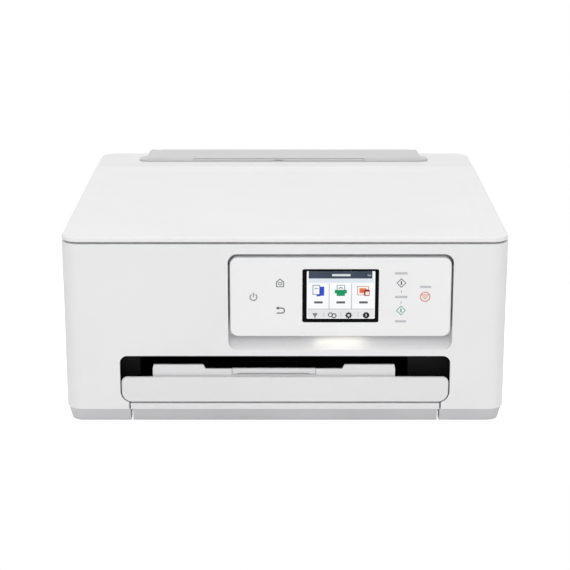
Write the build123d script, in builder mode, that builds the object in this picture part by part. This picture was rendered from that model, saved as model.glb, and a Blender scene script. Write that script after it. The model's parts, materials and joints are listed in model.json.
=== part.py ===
from build123d import *

import os
from math import atan2, cos, degrees, hypot, radians, sin

# Inkjet printer with a flatbed scanner on top, a tilting operation panel, a paper cassette
# under a sliding output tray, and a rear paper tray under a hinged cover.
# Millimetres. X runs to the right, Y to the back, Z up; the origin is on the table, in the
# middle of the outline.

os.makedirs("parts", exist_ok=True)

# ---- Driving dimensions: outline ------------------------------------------------------
WIDTH = 377.0
DEPTH = 359.0
FOOT_HEIGHT = 0.8
BAND_TOP = 12.0  # the drafted base band ends and the casing starts
RIM_TOP = 158.2  # top of the casing's walls
DECK_TOP = 163.5  # fixed deck behind the lid
WALL = 2.5
CORNER = 15.0  # upright corners of the casing
BAND_INSET = 0.7  # base band behind the casing's face, at its top
BAND_DRAFT = 3.2  # and how much further in it stands at its foot
SHEET = 1.2  # pressed steel
RUN = 0.3  # gap between parts that pass each other
FIT = 0.05  # radial clearance of a shaft in its hole

# ---- Document lid and scanner ---------------------------------------------------------
LID_GAP = 1.4  # seam between the casing's rim and the lid
LID_THICKNESS = 4.4
LID_DEPTH = 296.8
LID_RIM = 10.0  # flat border round the dished top
LID_DISH = 2.4
LID_SLOPE = 12.0  # width of the slope down to the dish
LID_PAD = 1.1
LID_ARM_INNER = 14.0  # radii of the curved lid arms about the hinge line
LID_ARM_OUTER = 18.0
SCANNER_ARM_INNER = 40.0
SCANNER_ARM_OUTER = 45.0
ARM_WIDTH = 6.0
TUB_HEIGHT = 28.0
TUB_HALF_WIDTH = 168.0
FRAME_THICKNESS = 5.4  # frame that holds the glass
GLASS_LENGTH = 302.0
GLASS_WIDTH = 222.0
GLASS_THICKNESS = 2.8

# ---- Operation panel ------------------------------------------------------------------
PANEL_WIDTH = 186.9
PANEL_HEIGHT = 69.2
PANEL_THICKNESS = 12.0
PANEL_CENTRE_X = 46.9
PANEL_BOTTOM = 77.4
PANEL_SIDE_GAP = 1.7
PANEL_TOP_GAP = 3.0
PANEL_CORNER = 7.0
SCOOP_HEIGHT = 12.1  # finger scoop under the panel
SCOOP_RISE = 9.0
POCKET_DEPTH = 15.5
POCKET_WALL = 2.2
DISPLAY_WIDTH = 64.2
DISPLAY_HEIGHT = 46.4
DISPLAY_BOTTOM = 90.1

# ---- Output slot and trays ------------------------------------------------------------
SLOT_WIDTH = 282.2
SLOT_TOP = 59.9
SLOT_GAP = 0.4  # bottom of the slot over the top of the cassette
BAR_HEIGHT = 22.4
BAR_DEPTH = 3.0
BAR_GAP = 0.7  # round the sides of the tray's bar
PAPER_CENTRE_X = -9.5
PAPER_WIDTH = 216.0
TRAY_MARGIN = 7.0  # output tray past the paper at each side
TRAY_DECK_Z = 44.5
TRAY_LENGTH = 152.0
TRAY_DECK_GAP = 11.5  # paper deck in front of the eject rollers
LIP_TOP = 46.9  # lip across the front of the deck
LIP_DEPTH = 2.0
TAB_RISE = 3.8  # tabs over the lip
TAB_DRAFT = 0.8  # how far the outer side of a tab leans
TAB_WIDTH = 42.6
TAB_SPACING = 163.6
EXTENSION_WIDTH = 71.5
EXTENSION_THICKNESS = 2.6
GRIP_WIDTH = 62.8
GRIP_RISE = 1.1
GRIP_DEPTH = 1.4
CASSETTE_WIDTH = 265.4
CASSETTE_LENGTH = 320.5
CASSETTE_BOTTOM = 3.0
CASSETTE_UNDERCUT = 2.0  # front cap narrower at each side below the casing
CASSETTE_TOP = 17.2
CASSETTE_WALL = 1.5
CASSETTE_CAP = 14.0  # solid front end of the cassette
CASSETTE_SIDE_GAP = 1.2
ROOF_THICKNESS = 2.5  # of the housing over the cassette
FLANGE = 2.9  # runner flange along each side of the cassette
GUIDE_HEIGHT = 8.0
PINION_RADIUS = 6.0

# ---- Print engine ---------------------------------------------------------------------
ROLLER_RADIUS = 6.0
FEED_SPACING = 117.0  # feed roller to the roller that turns the paper
ROLLER_SPACING = 74.0  # eject roller to feed roller
ENGINE_HALF_WIDTH = 166.0
ENGINE_TOP = 118.0
CARRIAGE_WIDTH = 84.0
CARRIAGE_HOME_X = 120.0
GUIDE_ROD_RADIUS = 4.0
TURN_RADIUS = 16.0
TURN_GUIDE_GAP = 1.5
TURN_GUIDE_WALL = 2.0
REAR_ROLLER_RADIUS = 11.0

# ---- Rear tray ------------------------------------------------------------------------
HUMP_WIDTH = 293.0
HUMP_CENTRE_X = -1.4
HUMP_DEPTH = 40.0
HUMP_HEIGHT = 4.3
HUMP_SETBACK = 3.5  # hump in front of the rear face
HUMP_FLANGE = 1.4  # the thin wings at the front corners of the hump
HUMP_TAPER = 8.0  # and how far they reach past its body
HUMP_WING = 17.0  # and their depth
HUMP_CORNER = 3.0  # the back corners in plan
LUG_INSET = 6.0  # the hinge lugs, in from the ends of the body
SUPPORT_WIDTH = 172.0
CHUTE_WALL = 2.0

# ---- Details: casing ------------------------------------------------------------------
SCREW_RADIUS = 1.5
BOSS_RADIUS = 5.0
BOSS_TOP = 34.0
ARM_GUIDE_ANGLE = 240.0  # where the scanner's arms pass their guides
ARM_GUIDE_REACH = 9.0
REAR_DOOR_Z = (27.0, 76.0)
REAR_DOOR_GAP = 0.8
DOOR_PIN = 0.7
INLET_Z = 36.0
INLET_WIDTH = 26.0
INLET_HEIGHT = 20.0
USB_Z = 48.0
USB_WIDTH = 15.0
USB_HEIGHT = 14.0
COVER_LUG = 5.0  # width of the lugs that carry the rear tray cover
COVER_PIN = 1.2

# ---- Details: base --------------------------------------------------------------------
PICKUP_RADIUS = 8.0
LEDGE_Z = (9.0, 11.7)

# ---- Details: scanner -----------------------------------------------------------------
TUB_WALL = 2.0
GLASS_SEAT = 4.0
SCAN_ROD_RADIUS = 3.0
SCAN_BAR_WIDTH = 22.0
SCAN_GEAR_RADIUS = 8.0

# ---- Details: operation panel ---------------------------------------------------------
DISPLAY_GLASS = 1.2
PANEL_SKIN = 2.0
LIGHT_WIDTH = 41.0

# ---- Details: output slot -------------------------------------------------------------
LINER_WALL = 1.5
RUNNER_Z = 33.0  # top of the rails that carry the output tray
STOPPER_LENGTH = 16.0
STOPPER_PIN = 0.7

# ---- Details: cassette ----------------------------------------------------------------
PAPER_HALF = 105.3  # half an A4 sheet, with play
RACK_WIDTH = 5.0
RACK_REACH = 9.0  # how far each rack runs past the pinion
PINION_PIN = 2.0

# ---- Details: print engine ------------------------------------------------------------
SHAFT_RADIUS = 3.5
IDLER_RADIUS = 15.0
MOTOR_PINION = 5.0
PULLEY_X = 148.0
PULLEY_RADIUS = 7.0
BELT_THICKNESS = 1.0
PINCH_RADIUS = 4.0
STAR_RADIUS = 5.0

# ---- Details: carriage ----------------------------------------------------------------
CARTRIDGE_WIDTH = 30.0
LEVER_PIN = 1.5
CARTRIDGE_SLACK = 0.3

# ---- Details: purge unit --------------------------------------------------------------
CAP_LIFT = 1.0

# ---- Details: paper path from the cassette --------------------------------------------
TURN_SHAFT = 4.0

# ---- Details: rear tray ---------------------------------------------------------------
CHUTE_SIDE = 7.0
REAR_SHAFT = 3.0
REAR_GUIDE_LENGTH = 36.0
REAR_GUIDE_HEIGHT = 7.0
SUPPORT_CENTRE_X = -6.0

# ---- Details: rear wall and electrics -------------------------------------------------
INLET_DEPTH = 14.0
SUPPLY_SIDE = 12.5  # power supply past the middle of the inlet

# ---- Positions that follow ------------------------------------------------------------
FRONT = -DEPTH / 2
BACK = DEPTH / 2
SIDE = WIDTH / 2
LID_BOTTOM = RIM_TOP + LID_GAP
LID_TOP = LID_BOTTOM + LID_THICKNESS
LID_BACK = FRONT + LID_DEPTH
HINGE_Y = LID_BACK - LID_THICKNESS / 2
HINGE_Z = LID_BOTTOM + LID_THICKNESS / 2
DECK_FRONT = LID_BACK + 1.4
FRAME_TOP = RIM_TOP
FRAME_BOTTOM = FRAME_TOP - FRAME_THICKNESS
TUB_BOTTOM = FRAME_BOTTOM - TUB_HEIGHT
PANEL_TOP = PANEL_BOTTOM + PANEL_HEIGHT
PANEL_LEFT = PANEL_CENTRE_X - PANEL_WIDTH / 2
PANEL_RIGHT = PANEL_CENTRE_X + PANEL_WIDTH / 2
PIVOT_Y = FRONT + PANEL_THICKNESS / 2
PIVOT_Z = PANEL_TOP - PANEL_THICKNESS / 2
SLOT_SIDE = SLOT_WIDTH / 2
SLOT_BOTTOM = CASSETTE_TOP + SLOT_GAP
CHANNEL_SIDE = CASSETTE_WIDTH / 2 + CASSETTE_SIDE_GAP
CHANNEL_TOP = CASSETTE_TOP + 0.8
MOUTH_SIDE = CHANNEL_SIDE - 1.0  # opening in the front of the base band
CASSETTE_BACK = FRONT + CASSETTE_LENGTH
ROOF_TOP = CHANNEL_TOP + ROOF_THICKNESS
TURN_Z = ROOF_TOP + TURN_GUIDE_GAP + TURN_GUIDE_WALL + TURN_RADIUS
TURN_Y = CASSETTE_BACK - TURN_RADIUS
PAPER_LINE = TURN_Z + TURN_RADIUS
TRAY_LEFT = PAPER_CENTRE_X - PAPER_WIDTH / 2 - TRAY_MARGIN
TRAY_RIGHT = PAPER_CENTRE_X + PAPER_WIDTH / 2 + TRAY_MARGIN
FEED_Y = TURN_Y - FEED_SPACING
EJECT_Y = FEED_Y - ROLLER_SPACING
ROLLER_Z = PAPER_LINE - ROLLER_RADIUS
ENGINE_BACK = FEED_Y + 52
PAPER_LEFT = PAPER_CENTRE_X - PAPER_WIDTH / 2
PAPER_RIGHT = PAPER_CENTRE_X + PAPER_WIDTH / 2
HUMP_BACK = BACK - HUMP_SETBACK
HUMP_FRONT = HUMP_BACK - HUMP_DEPTH
HUMP_BOTTOM = DECK_TOP + 0.4
HUMP_TOP = HUMP_BOTTOM + HUMP_HEIGHT
HUMP_PIVOT_Y = HUMP_BACK - HUMP_HEIGHT / 2
HUMP_PIVOT_Z = HUMP_BOTTOM + HUMP_HEIGHT / 2
LUG_SIDE = HUMP_WIDTH / 2 - HUMP_TAPER - LUG_INSET

FRONT_FACE = Plane.XZ.offset(-FRONT)  # local Y is up, and the normal points at the user
REAR_FACE = Plane.XZ.offset(-BACK)


def block(x, y, z, mode=Mode.ADD):
    """A box that fills the ranges x, y and z, each given as (low, high)."""
    with Locations(((x[0] + x[1]) / 2, (y[0] + y[1]) / 2, (z[0] + z[1]) / 2)):
        Box(x[1] - x[0], y[1] - y[0], z[1] - z[0], mode=mode)


def bar_x(x, y, z, radius, mode=Mode.ADD):
    """A round bar along X over the range x, centred at (y, z)."""
    with Locations(((x[0] + x[1]) / 2, y, z)):
        Cylinder(radius, x[1] - x[0], rotation=(0, 90, 0), mode=mode)


def post(x, y, z, radius, mode=Mode.ADD):
    """A round post at (x, y) over the height range z."""
    with Locations((x, y, (z[0] + z[1]) / 2)):
        Cylinder(radius, z[1] - z[0], mode=mode)


def side_profile(x, points, mode=Mode.ADD):
    """A straight-sided outline of (y, z) points, carried along X over the range x."""
    with BuildSketch(Plane.YZ.offset(x[0])) as outline:
        with BuildLine():
            Polyline(*points, close=True)
        make_face()
    extrude(outline.sketch, amount=x[1] - x[0], mode=mode)


def curved_arm(x, inner, outer, start, size, mode=Mode.ADD):
    """A strip bent round the lid's hinge line, from the angle start over size degrees."""
    centre = (HINGE_Y, HINGE_Z)
    with BuildSketch(Plane.YZ.offset(x[0])) as outline:
        with BuildLine():
            far = CenterArc(centre, outer, start, size)
            near = CenterArc(centre, inner, start, size)
            Line(far @ 0, near @ 0)
            Line(far @ 1, near @ 1)
        make_face()
    extrude(outline.sketch, amount=x[1] - x[0], mode=mode)


def mirrored(x):
    """The range x and its mirror image on the other side of the centre plane."""
    return [x, (-x[1], -x[0])]


# ---- Casing ---------------------------------------------------------------------------
SCREW_X = SIDE - 9.0
SCREW_Y = DEPTH / 2 - 32.0
SCREW_POINTS = [(sx * SCREW_X, sy * SCREW_Y) for sx in (-1, 1) for sy in (-1, 1)]
ARM_GUIDE_X = (ENGINE_HALF_WIDTH + 8.0, ENGINE_HALF_WIDTH + 8.0 + ARM_WIDTH)
ARM_RADIUS = (SCANNER_ARM_INNER + SCANNER_ARM_OUTER) / 2
GUIDE_Y = HINGE_Y + ARM_RADIUS * cos(radians(ARM_GUIDE_ANGLE))
GUIDE_Z = HINGE_Z + ARM_RADIUS * sin(radians(ARM_GUIDE_ANGLE))
REAR_DOOR_X = (PAPER_LEFT - 1.0, PAPER_RIGHT + 1.0)
DOOR_PIVOT_Y = BACK - WALL / 2
DOOR_PIVOT_Z = REAR_DOOR_Z[0] + REAR_DOOR_GAP + WALL / 2
INLET_X = -(SIDE - 30.0)
USB_X = SIDE - 34.0
CHUTE_MOUTH_X = (3.0 - LUG_SIDE, LUG_SIDE - 3.0)
CHUTE_MOUTH_Y = (HUMP_FRONT + 4.0, HUMP_BACK - 6.0)

with BuildPart() as panel_recess:
    # The space of the panel's recess and its finger scoop, taken out of the casing
    recess_top = PANEL_TOP + PANEL_TOP_GAP
    recess_foot = PANEL_BOTTOM - SCOOP_HEIGHT
    with BuildSketch(FRONT_FACE.offset(1)):
        with Locations((PANEL_CENTRE_X, (recess_top + recess_foot) / 2)):
            RectangleRounded(
                PANEL_WIDTH + 2 * PANEL_SIDE_GAP, recess_top - recess_foot, PANEL_CORNER + 1
            )
    extrude(amount=-(POCKET_DEPTH + 1))
    side_profile(
        (PANEL_LEFT - 5, PANEL_RIGHT + 5),
        [
            (FRONT, recess_foot - 1),
            (FRONT, recess_foot),
            (FRONT + POCKET_DEPTH, recess_foot + SCOOP_RISE),
            (FRONT + POCKET_DEPTH, recess_foot - 1),
        ],
        mode=Mode.SUBTRACT,
    )

with BuildPart() as main_casing:
    with BuildSketch(Plane.XY.offset(BAND_TOP)):
        RectangleRounded(WIDTH, DEPTH, CORNER)
    extrude(amount=DECK_TOP - BAND_TOP)
    top_edges = faces().sort_by(Axis.Z)[-1].edges()
    fillet(top_edges, 3.0)
    # Rim under the lid, with the deck left standing behind it
    block((-SIDE, SIDE), (FRONT, DECK_FRONT), (RIM_TOP, DECK_TOP), mode=Mode.SUBTRACT)
    with BuildSketch(Plane.XY.offset(BAND_TOP)):
        RectangleRounded(WIDTH - 2 * WALL, DEPTH - 2 * WALL, CORNER - WALL)
    extrude(amount=DECK_TOP - WALL - BAND_TOP, mode=Mode.SUBTRACT)
    # Pocket behind the operation panel
    pocket_side = PANEL_SIDE_GAP + POCKET_WALL
    block(
        (PANEL_LEFT - pocket_side, PANEL_RIGHT + pocket_side),
        (FRONT + WALL / 2, FRONT + POCKET_DEPTH + POCKET_WALL),
        (recess_foot - POCKET_WALL, recess_top + POCKET_WALL),
    )
    add(panel_recess.part, mode=Mode.SUBTRACT)
    pivot_hole = (PANEL_LEFT - pocket_side - 1, PANEL_RIGHT + pocket_side + 1)
    bar_x(pivot_hole, PIVOT_Y, PIVOT_Z, 1.5 + FIT, mode=Mode.SUBTRACT)
    # Output slot, and the opening of the cassette under it
    with BuildSketch(FRONT_FACE.offset(1)):
        with Locations((0, (SLOT_TOP + SLOT_BOTTOM) / 2)):
            Rectangle(SLOT_WIDTH, SLOT_TOP - SLOT_BOTTOM)
        fillet(vertices().group_by(Axis.Y)[-1], 6.5)
        fillet(vertices().group_by(Axis.Y)[0], 10)
    extrude(amount=-(WALL + 2), mode=Mode.SUBTRACT)
    block(
        (-CHANNEL_SIDE, CHANNEL_SIDE),
        (FRONT - 1, FRONT + WALL + 1),
        (BAND_TOP - 1, SLOT_BOTTOM + 1.5),
        mode=Mode.SUBTRACT,
    )
    # Rear wall: door, power inlet and data port
    block(REAR_DOOR_X, (BACK - WALL - 1, BACK + 1), REAR_DOOR_Z, mode=Mode.SUBTRACT)
    door_pins = (REAR_DOOR_X[0] - 2.3, REAR_DOOR_X[1] + 2.3)
    bar_x(door_pins, DOOR_PIVOT_Y, DOOR_PIVOT_Z, DOOR_PIN + FIT, mode=Mode.SUBTRACT)
    with BuildSketch(REAR_FACE.offset(-1)):
        with Locations((INLET_X, INLET_Z)):
            RectangleRounded(INLET_WIDTH, INLET_HEIGHT, 3)
        with Locations((USB_X, USB_Z)):
            RectangleRounded(USB_WIDTH, USB_HEIGHT, 1)
    extrude(amount=WALL + 2, mode=Mode.SUBTRACT)
    # Paper mouth in the deck, and the lugs of the cover that closes it
    block(CHUTE_MOUTH_X, CHUTE_MOUTH_Y, (DECK_TOP - WALL - 1, DECK_TOP + 1), mode=Mode.SUBTRACT)
    for lug in mirrored((-LUG_SIDE, COVER_LUG - LUG_SIDE)):
        lug_radius = HUMP_HEIGHT / 2
        lug_y = (HUMP_PIVOT_Y - lug_radius, HUMP_PIVOT_Y + lug_radius)
        block(lug, lug_y, (DECK_TOP - 1, HUMP_PIVOT_Z))
        bar_x(lug, HUMP_PIVOT_Y, HUMP_PIVOT_Z, lug_radius)
        bar_x(lug, HUMP_PIVOT_Y, HUMP_PIVOT_Z, COVER_PIN + FIT, mode=Mode.SUBTRACT)
    # Screw bosses against the side walls
    for x, y in SCREW_POINTS:
        post(x, y, (BAND_TOP, BOSS_TOP), BOSS_RADIUS)
        side = (SIDE - WALL / 2, SCREW_X)
        block(sorted((x, x / abs(x) * side[0])), (y - 3, y + 3), (BAND_TOP, BOSS_TOP))
        post(x, y, (BAND_TOP - 1, BOSS_TOP - 8), SCREW_RADIUS + FIT, mode=Mode.SUBTRACT)
    # Guides that the scanner's curved arms run through
    for arm in mirrored(ARM_GUIDE_X):
        wall_side = (arm[0] - 3, SIDE - WALL / 2) if arm[0] > 0 else (WALL / 2 - SIDE, arm[1] + 3)
        block(
            wall_side,
            (GUIDE_Y - ARM_GUIDE_REACH, GUIDE_Y + ARM_GUIDE_REACH),
            (GUIDE_Z - ARM_GUIDE_REACH, GUIDE_Z + ARM_GUIDE_REACH),
        )
        curved_arm(
            (arm[0] - RUN, arm[1] + RUN),
            SCANNER_ARM_INNER - RUN,
            SCANNER_ARM_OUTER + RUN,
            ARM_GUIDE_ANGLE - 40,
            80,
            mode=Mode.SUBTRACT,
        )
main_casing.part.label = "main_casing"
export_step(main_casing.part, "parts/main_casing.step")

# ---- Base -----------------------------------------------------------------------------
PICKUP_WINDOW_X = (PAPER_CENTRE_X - 34, PAPER_CENTRE_X + 34)
PICKUP_Y = TURN_Y - 52
PICKUP_WINDOW_Y = (PICKUP_Y - 16, TURN_Y + TURN_RADIUS + 12)
PICKUP_PIVOT_Y = TURN_Y - 24
PICKUP_PIVOT_Z = ROOF_TOP + 14
PICKUP_Z = CASSETTE_TOP + 0.8 + PICKUP_RADIUS
PICKUP_EAR_LEFT = (PICKUP_WINDOW_X[0] - 5, PICKUP_WINDOW_X[0] - 1)
PICKUP_EAR_RIGHT = (PICKUP_WINDOW_X[1] + 1, PICKUP_WINDOW_X[1] + 5)
BASE_FLOOR = FOOT_HEIGHT + WALL

with BuildPart() as base_tray:
    foot_inset = BAND_INSET + BAND_DRAFT
    with BuildSketch(Plane.XY.offset(FOOT_HEIGHT)):
        RectangleRounded(WIDTH - 2 * foot_inset, DEPTH - 2 * foot_inset, CORNER - foot_inset)
    with BuildSketch(Plane.XY.offset(BAND_TOP)):
        RectangleRounded(WIDTH - 2 * BAND_INSET, DEPTH - 2 * BAND_INSET, CORNER - BAND_INSET)
    loft()
    hollow = foot_inset + WALL
    with BuildSketch(Plane.XY.offset(BASE_FLOOR)):
        RectangleRounded(WIDTH - 2 * hollow, DEPTH - 2 * hollow, CORNER - hollow)
    extrude(amount=BAND_TOP, mode=Mode.SUBTRACT)
    # Housing of the cassette: two side walls and a roof
    housing = CHANNEL_SIDE + WALL
    block((-housing, housing), (FRONT + CASSETTE_CAP + 2, BACK - hollow), (FOOT_HEIGHT, ROOF_TOP))
    block(
        (-CHANNEL_SIDE, CHANNEL_SIDE),
        (FRONT + CASSETTE_CAP, CASSETTE_BACK + 1.5),
        (FOOT_HEIGHT - 1, CHANNEL_TOP),
        mode=Mode.SUBTRACT,
    )
    block(
        (-MOUTH_SIDE, MOUTH_SIDE),
        (FRONT - 1, FRONT + CASSETTE_CAP + 1),
        (FOOT_HEIGHT - 1, BAND_TOP + 1),
        mode=Mode.SUBTRACT,
    )
    block(PICKUP_WINDOW_X, PICKUP_WINDOW_Y, (CHANNEL_TOP - 1, ROOF_TOP + 1), mode=Mode.SUBTRACT)
    for ledge in mirrored((CHANNEL_SIDE - FLANGE, CHANNEL_SIDE + 1)):
        block(ledge, (FRONT + CASSETTE_CAP + 2, CASSETTE_BACK + 2), LEDGE_Z)
    # Ears that carry the pickup arm
    for ear in (PICKUP_EAR_LEFT, PICKUP_EAR_RIGHT):
        block(ear, (PICKUP_PIVOT_Y - 5, PICKUP_PIVOT_Y + 5), (ROOF_TOP - 1, PICKUP_PIVOT_Z + 5))
        bar_x(ear, PICKUP_PIVOT_Y, PICKUP_PIVOT_Z, 2.5 + FIT, mode=Mode.SUBTRACT)
    for x, y in SCREW_POINTS:
        post(x, y, (FOOT_HEIGHT + 1, BAND_TOP), BOSS_RADIUS)
        post(x, y, (FOOT_HEIGHT - 1, BAND_TOP + 1), SCREW_RADIUS + FIT, mode=Mode.SUBTRACT)
        post(x, y, (FOOT_HEIGHT - 1, FOOT_HEIGHT + 4), 3.4, mode=Mode.SUBTRACT)
base_tray.part.label = "base_tray"
export_step(base_tray.part, "parts/base_tray.step")

with BuildPart() as rubber_feet:
    foot_x = (SIDE + CHANNEL_SIDE) / 2 - 2
    with Locations(*[(sx * foot_x, sy * (DEPTH / 2 - 60)) for sx in (-1, 1) for sy in (-1, 1)]):
        Cylinder(9, FOOT_HEIGHT, align=(Align.CENTER, Align.CENTER, Align.MIN))
    fillet(edges().group_by(Axis.Z)[0], 0.6)
rubber_feet.part.label = "rubber_feet"
export_step(rubber_feet.part, "parts/rubber_feet.step")

with BuildPart() as case_screws:
    for x, y in SCREW_POINTS:
        post(x, y, (FOOT_HEIGHT + 1.5, FOOT_HEIGHT + 4), 3.0)
        post(x, y, (FOOT_HEIGHT + 4, BOSS_TOP - 9), SCREW_RADIUS)
case_screws.part.label = "case_screws"
export_step(case_screws.part, "parts/case_screws.step")

# ---- Scanner --------------------------------------------------------------------------
FRAME_SIDE = SIDE - WALL - 0.7
FRAME_FRONT = FRONT + WALL + 0.7
FRAME_BACK = LID_BACK - 5.0
TUB_FRONT = FRONT + POCKET_DEPTH + POCKET_WALL + 4.0
TUB_BACK = LID_BACK - 9.0
GLASS_FRONT = TUB_FRONT + 5.0
SCAN_ROD_Y = TUB_BACK - 24.0
SCAN_ROD_Z = TUB_BOTTOM + 10.0
SCAN_HOME_X = -GLASS_LENGTH / 2 + SCAN_BAR_WIDTH / 2 + 2
SCAN_GEAR_Y = (TUB_BACK - 9.0, TUB_BACK - 5.0)
SCAN_GEAR_Z = TUB_BOTTOM + TUB_WALL + 1.5 + RUN + SCAN_GEAR_RADIUS

with BuildPart() as scanner_tub:
    block((-TUB_HALF_WIDTH, TUB_HALF_WIDTH), (TUB_FRONT, TUB_BACK), (TUB_BOTTOM, FRAME_BOTTOM))
    fillet(edges().filter_by(Axis.Z), 6)
    fillet(edges().group_by(Axis.Z)[0], 3)
    inner = TUB_HALF_WIDTH - TUB_WALL
    block(
        (-inner, inner),
        (TUB_FRONT + TUB_WALL, TUB_BACK - TUB_WALL),
        (TUB_BOTTOM + TUB_WALL, FRAME_BOTTOM),
        mode=Mode.SUBTRACT,
    )
    # Rack strip under the scan carriage's gear
    block((-inner, inner), SCAN_GEAR_Y, (TUB_BOTTOM + 1, TUB_BOTTOM + TUB_WALL + 1.5))
scanner_tub.part.label = "scanner_tub"
export_step(scanner_tub.part, "parts/scanner_tub.step")

with BuildPart() as scanner_frame:
    with BuildSketch(Plane.XY.offset(FRAME_BOTTOM)):
        with Locations((0, (FRAME_FRONT + FRAME_BACK) / 2)):
            Rectangle(2 * FRAME_SIDE, FRAME_BACK - FRAME_FRONT)
        fillet(vertices().group_by(Axis.Y)[0], CORNER - WALL - 0.7)
    extrude(amount=FRAME_THICKNESS)
    glass_x = (-GLASS_LENGTH / 2, GLASS_LENGTH / 2)
    glass_y = (GLASS_FRONT, GLASS_FRONT + GLASS_WIDTH)
    block(glass_x, glass_y, (FRAME_TOP - GLASS_THICKNESS, FRAME_TOP), mode=Mode.SUBTRACT)
    block(
        (glass_x[0] + GLASS_SEAT, glass_x[1] - GLASS_SEAT),
        (glass_y[0] + GLASS_SEAT, glass_y[1] - GLASS_SEAT),
        (FRAME_BOTTOM, FRAME_TOP),
        mode=Mode.SUBTRACT,
    )
    for arm in mirrored(ARM_GUIDE_X):
        curved_arm(arm, SCANNER_ARM_INNER, SCANNER_ARM_OUTER, 189, 101)
        curved_arm(
            (arm[0] - RUN, arm[1] + RUN),
            LID_ARM_INNER - RUN,
            LID_ARM_OUTER + RUN,
            180,
            60,
            mode=Mode.SUBTRACT,
        )
scanner_frame.part.label = "scanner_frame"
export_step(scanner_frame.part, "parts/scanner_frame.step")

with BuildPart() as platen_glass:
    block(
        (glass_x[0] + FIT, glass_x[1] - FIT),
        (glass_y[0] + FIT, glass_y[1] - FIT),
        (FRAME_TOP - GLASS_THICKNESS, FRAME_TOP),
    )
platen_glass.part.label = "platen_glass"
export_step(platen_glass.part, "parts/platen_glass.step")

with BuildPart() as scan_guide_rod:
    bar_x((-inner, inner), SCAN_ROD_Y, SCAN_ROD_Z, SCAN_ROD_RADIUS)
scan_guide_rod.part.label = "scan_guide_rod"
export_step(scan_guide_rod.part, "parts/scan_guide_rod.step")

with BuildPart() as scan_carriage:
    bar_range = (SCAN_HOME_X - SCAN_BAR_WIDTH / 2, SCAN_HOME_X + SCAN_BAR_WIDTH / 2)
    carriage_back = SCAN_GEAR_Y[0] - 1
    block(bar_range, (TUB_FRONT + 6, carriage_back), (TUB_BOTTOM + 8, FRAME_BOTTOM - 1))
    block(
        bar_range,
        (SCAN_ROD_Y - 8, SCAN_ROD_Y + 8),
        (SCAN_ROD_Z - 6, SCAN_ROD_Z + 8),
    )
    bar_x(
        (bar_range[0] - 1, bar_range[1] + 1),
        SCAN_ROD_Y,
        SCAN_ROD_Z,
        SCAN_ROD_RADIUS + FIT,
        mode=Mode.SUBTRACT,
    )
    with BuildSketch(Plane.XZ.offset(-carriage_back)):
        with Locations((SCAN_HOME_X, SCAN_GEAR_Z)):
            Circle(1.5)
    extrude(amount=-5.5)
scan_carriage.part.label = "scan_carriage"
export_step(scan_carriage.part, "parts/scan_carriage.step")

with BuildPart() as scan_drive_gear:
    with BuildSketch(Plane.XZ.offset(-SCAN_GEAR_Y[0])):
        with Locations((SCAN_HOME_X, SCAN_GEAR_Z)):
            Circle(SCAN_GEAR_RADIUS)
            with PolarLocations(SCAN_GEAR_RADIUS, 24):
                Circle(0.6, mode=Mode.SUBTRACT)
            Circle(1.5 + FIT, mode=Mode.SUBTRACT)
    extrude(amount=-(SCAN_GEAR_Y[1] - SCAN_GEAR_Y[0]))
scan_drive_gear.part.label = "scan_drive_gear"
export_step(scan_drive_gear.part, "parts/scan_drive_gear.step")

# ---- Document lid ---------------------------------------------------------------------
with BuildPart() as document_cover:
    with BuildSketch(Plane.XY.offset(LID_BOTTOM)):
        with Locations((0, (FRONT + LID_BACK) / 2)):
            Rectangle(WIDTH, LID_DEPTH)
        fillet(vertices().group_by(Axis.Y)[0], CORNER)
    extrude(amount=LID_THICKNESS)
    back_edges = edges().filter_by(Axis.X).group_by(Axis.Y)[-1]
    fillet(back_edges, LID_THICKNESS / 2 - 0.02)
    rim_edges = faces().filter_by(Axis.Z).sort_by(Axis.Z)[-1].edges()
    fillet(rim_edges.filter_by(lambda e: e.center().Y < LID_BACK - LID_THICKNESS), 1.5)
    # Dished top inside a flat rim, with a long slope between them
    dish_rim = LID_RIM + LID_SLOPE
    with BuildSketch(Plane.XY.offset(LID_TOP)):
        with Locations((0, (FRONT + LID_BACK) / 2)):
            RectangleRounded(WIDTH - 2 * LID_RIM, LID_DEPTH - 2 * LID_RIM, CORNER)
    with BuildSketch(Plane.XY.offset(LID_TOP - LID_DISH)):
        with Locations((0, (FRONT + LID_BACK) / 2)):
            RectangleRounded(WIDTH - 2 * dish_rim, LID_DEPTH - 2 * dish_rim, CORNER / 2)
    loft(mode=Mode.SUBTRACT)
    for arm in mirrored(ARM_GUIDE_X):
        curved_arm(arm, LID_ARM_INNER, LID_ARM_OUTER, 181, 109)
document_cover.part.label = "document_cover"
export_step(document_cover.part, "parts/document_cover.step")

with BuildPart() as document_pad:
    with BuildSketch(Plane.XY.offset(LID_BOTTOM - LID_PAD)):
        with Locations((0, GLASS_FRONT + GLASS_WIDTH / 2)):
            RectangleRounded(GLASS_LENGTH + 8, GLASS_WIDTH + 8, 4)
    extrude(amount=LID_PAD)
document_pad.part.label = "document_pad"
export_step(document_pad.part, "parts/document_pad.step")

# ---- Operation panel ------------------------------------------------------------------
PANEL_SPLIT = FRONT + 8.5  # front moulding in front of it, back cover behind

with BuildPart() as panel_form:
    # Outer form of the whole panel, shared by its two mouldings
    with BuildSketch(FRONT_FACE):
        with Locations((PANEL_CENTRE_X, PANEL_BOTTOM + PANEL_HEIGHT / 2)):
            RectangleRounded(PANEL_WIDTH, PANEL_HEIGHT, PANEL_CORNER)
    extrude(amount=-PANEL_THICKNESS)
    fillet(faces().sort_by(Axis.Y)[0].edges(), 1.5)
    fillet(faces().sort_by(Axis.Y)[-1].edges(), 1.0)

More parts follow.
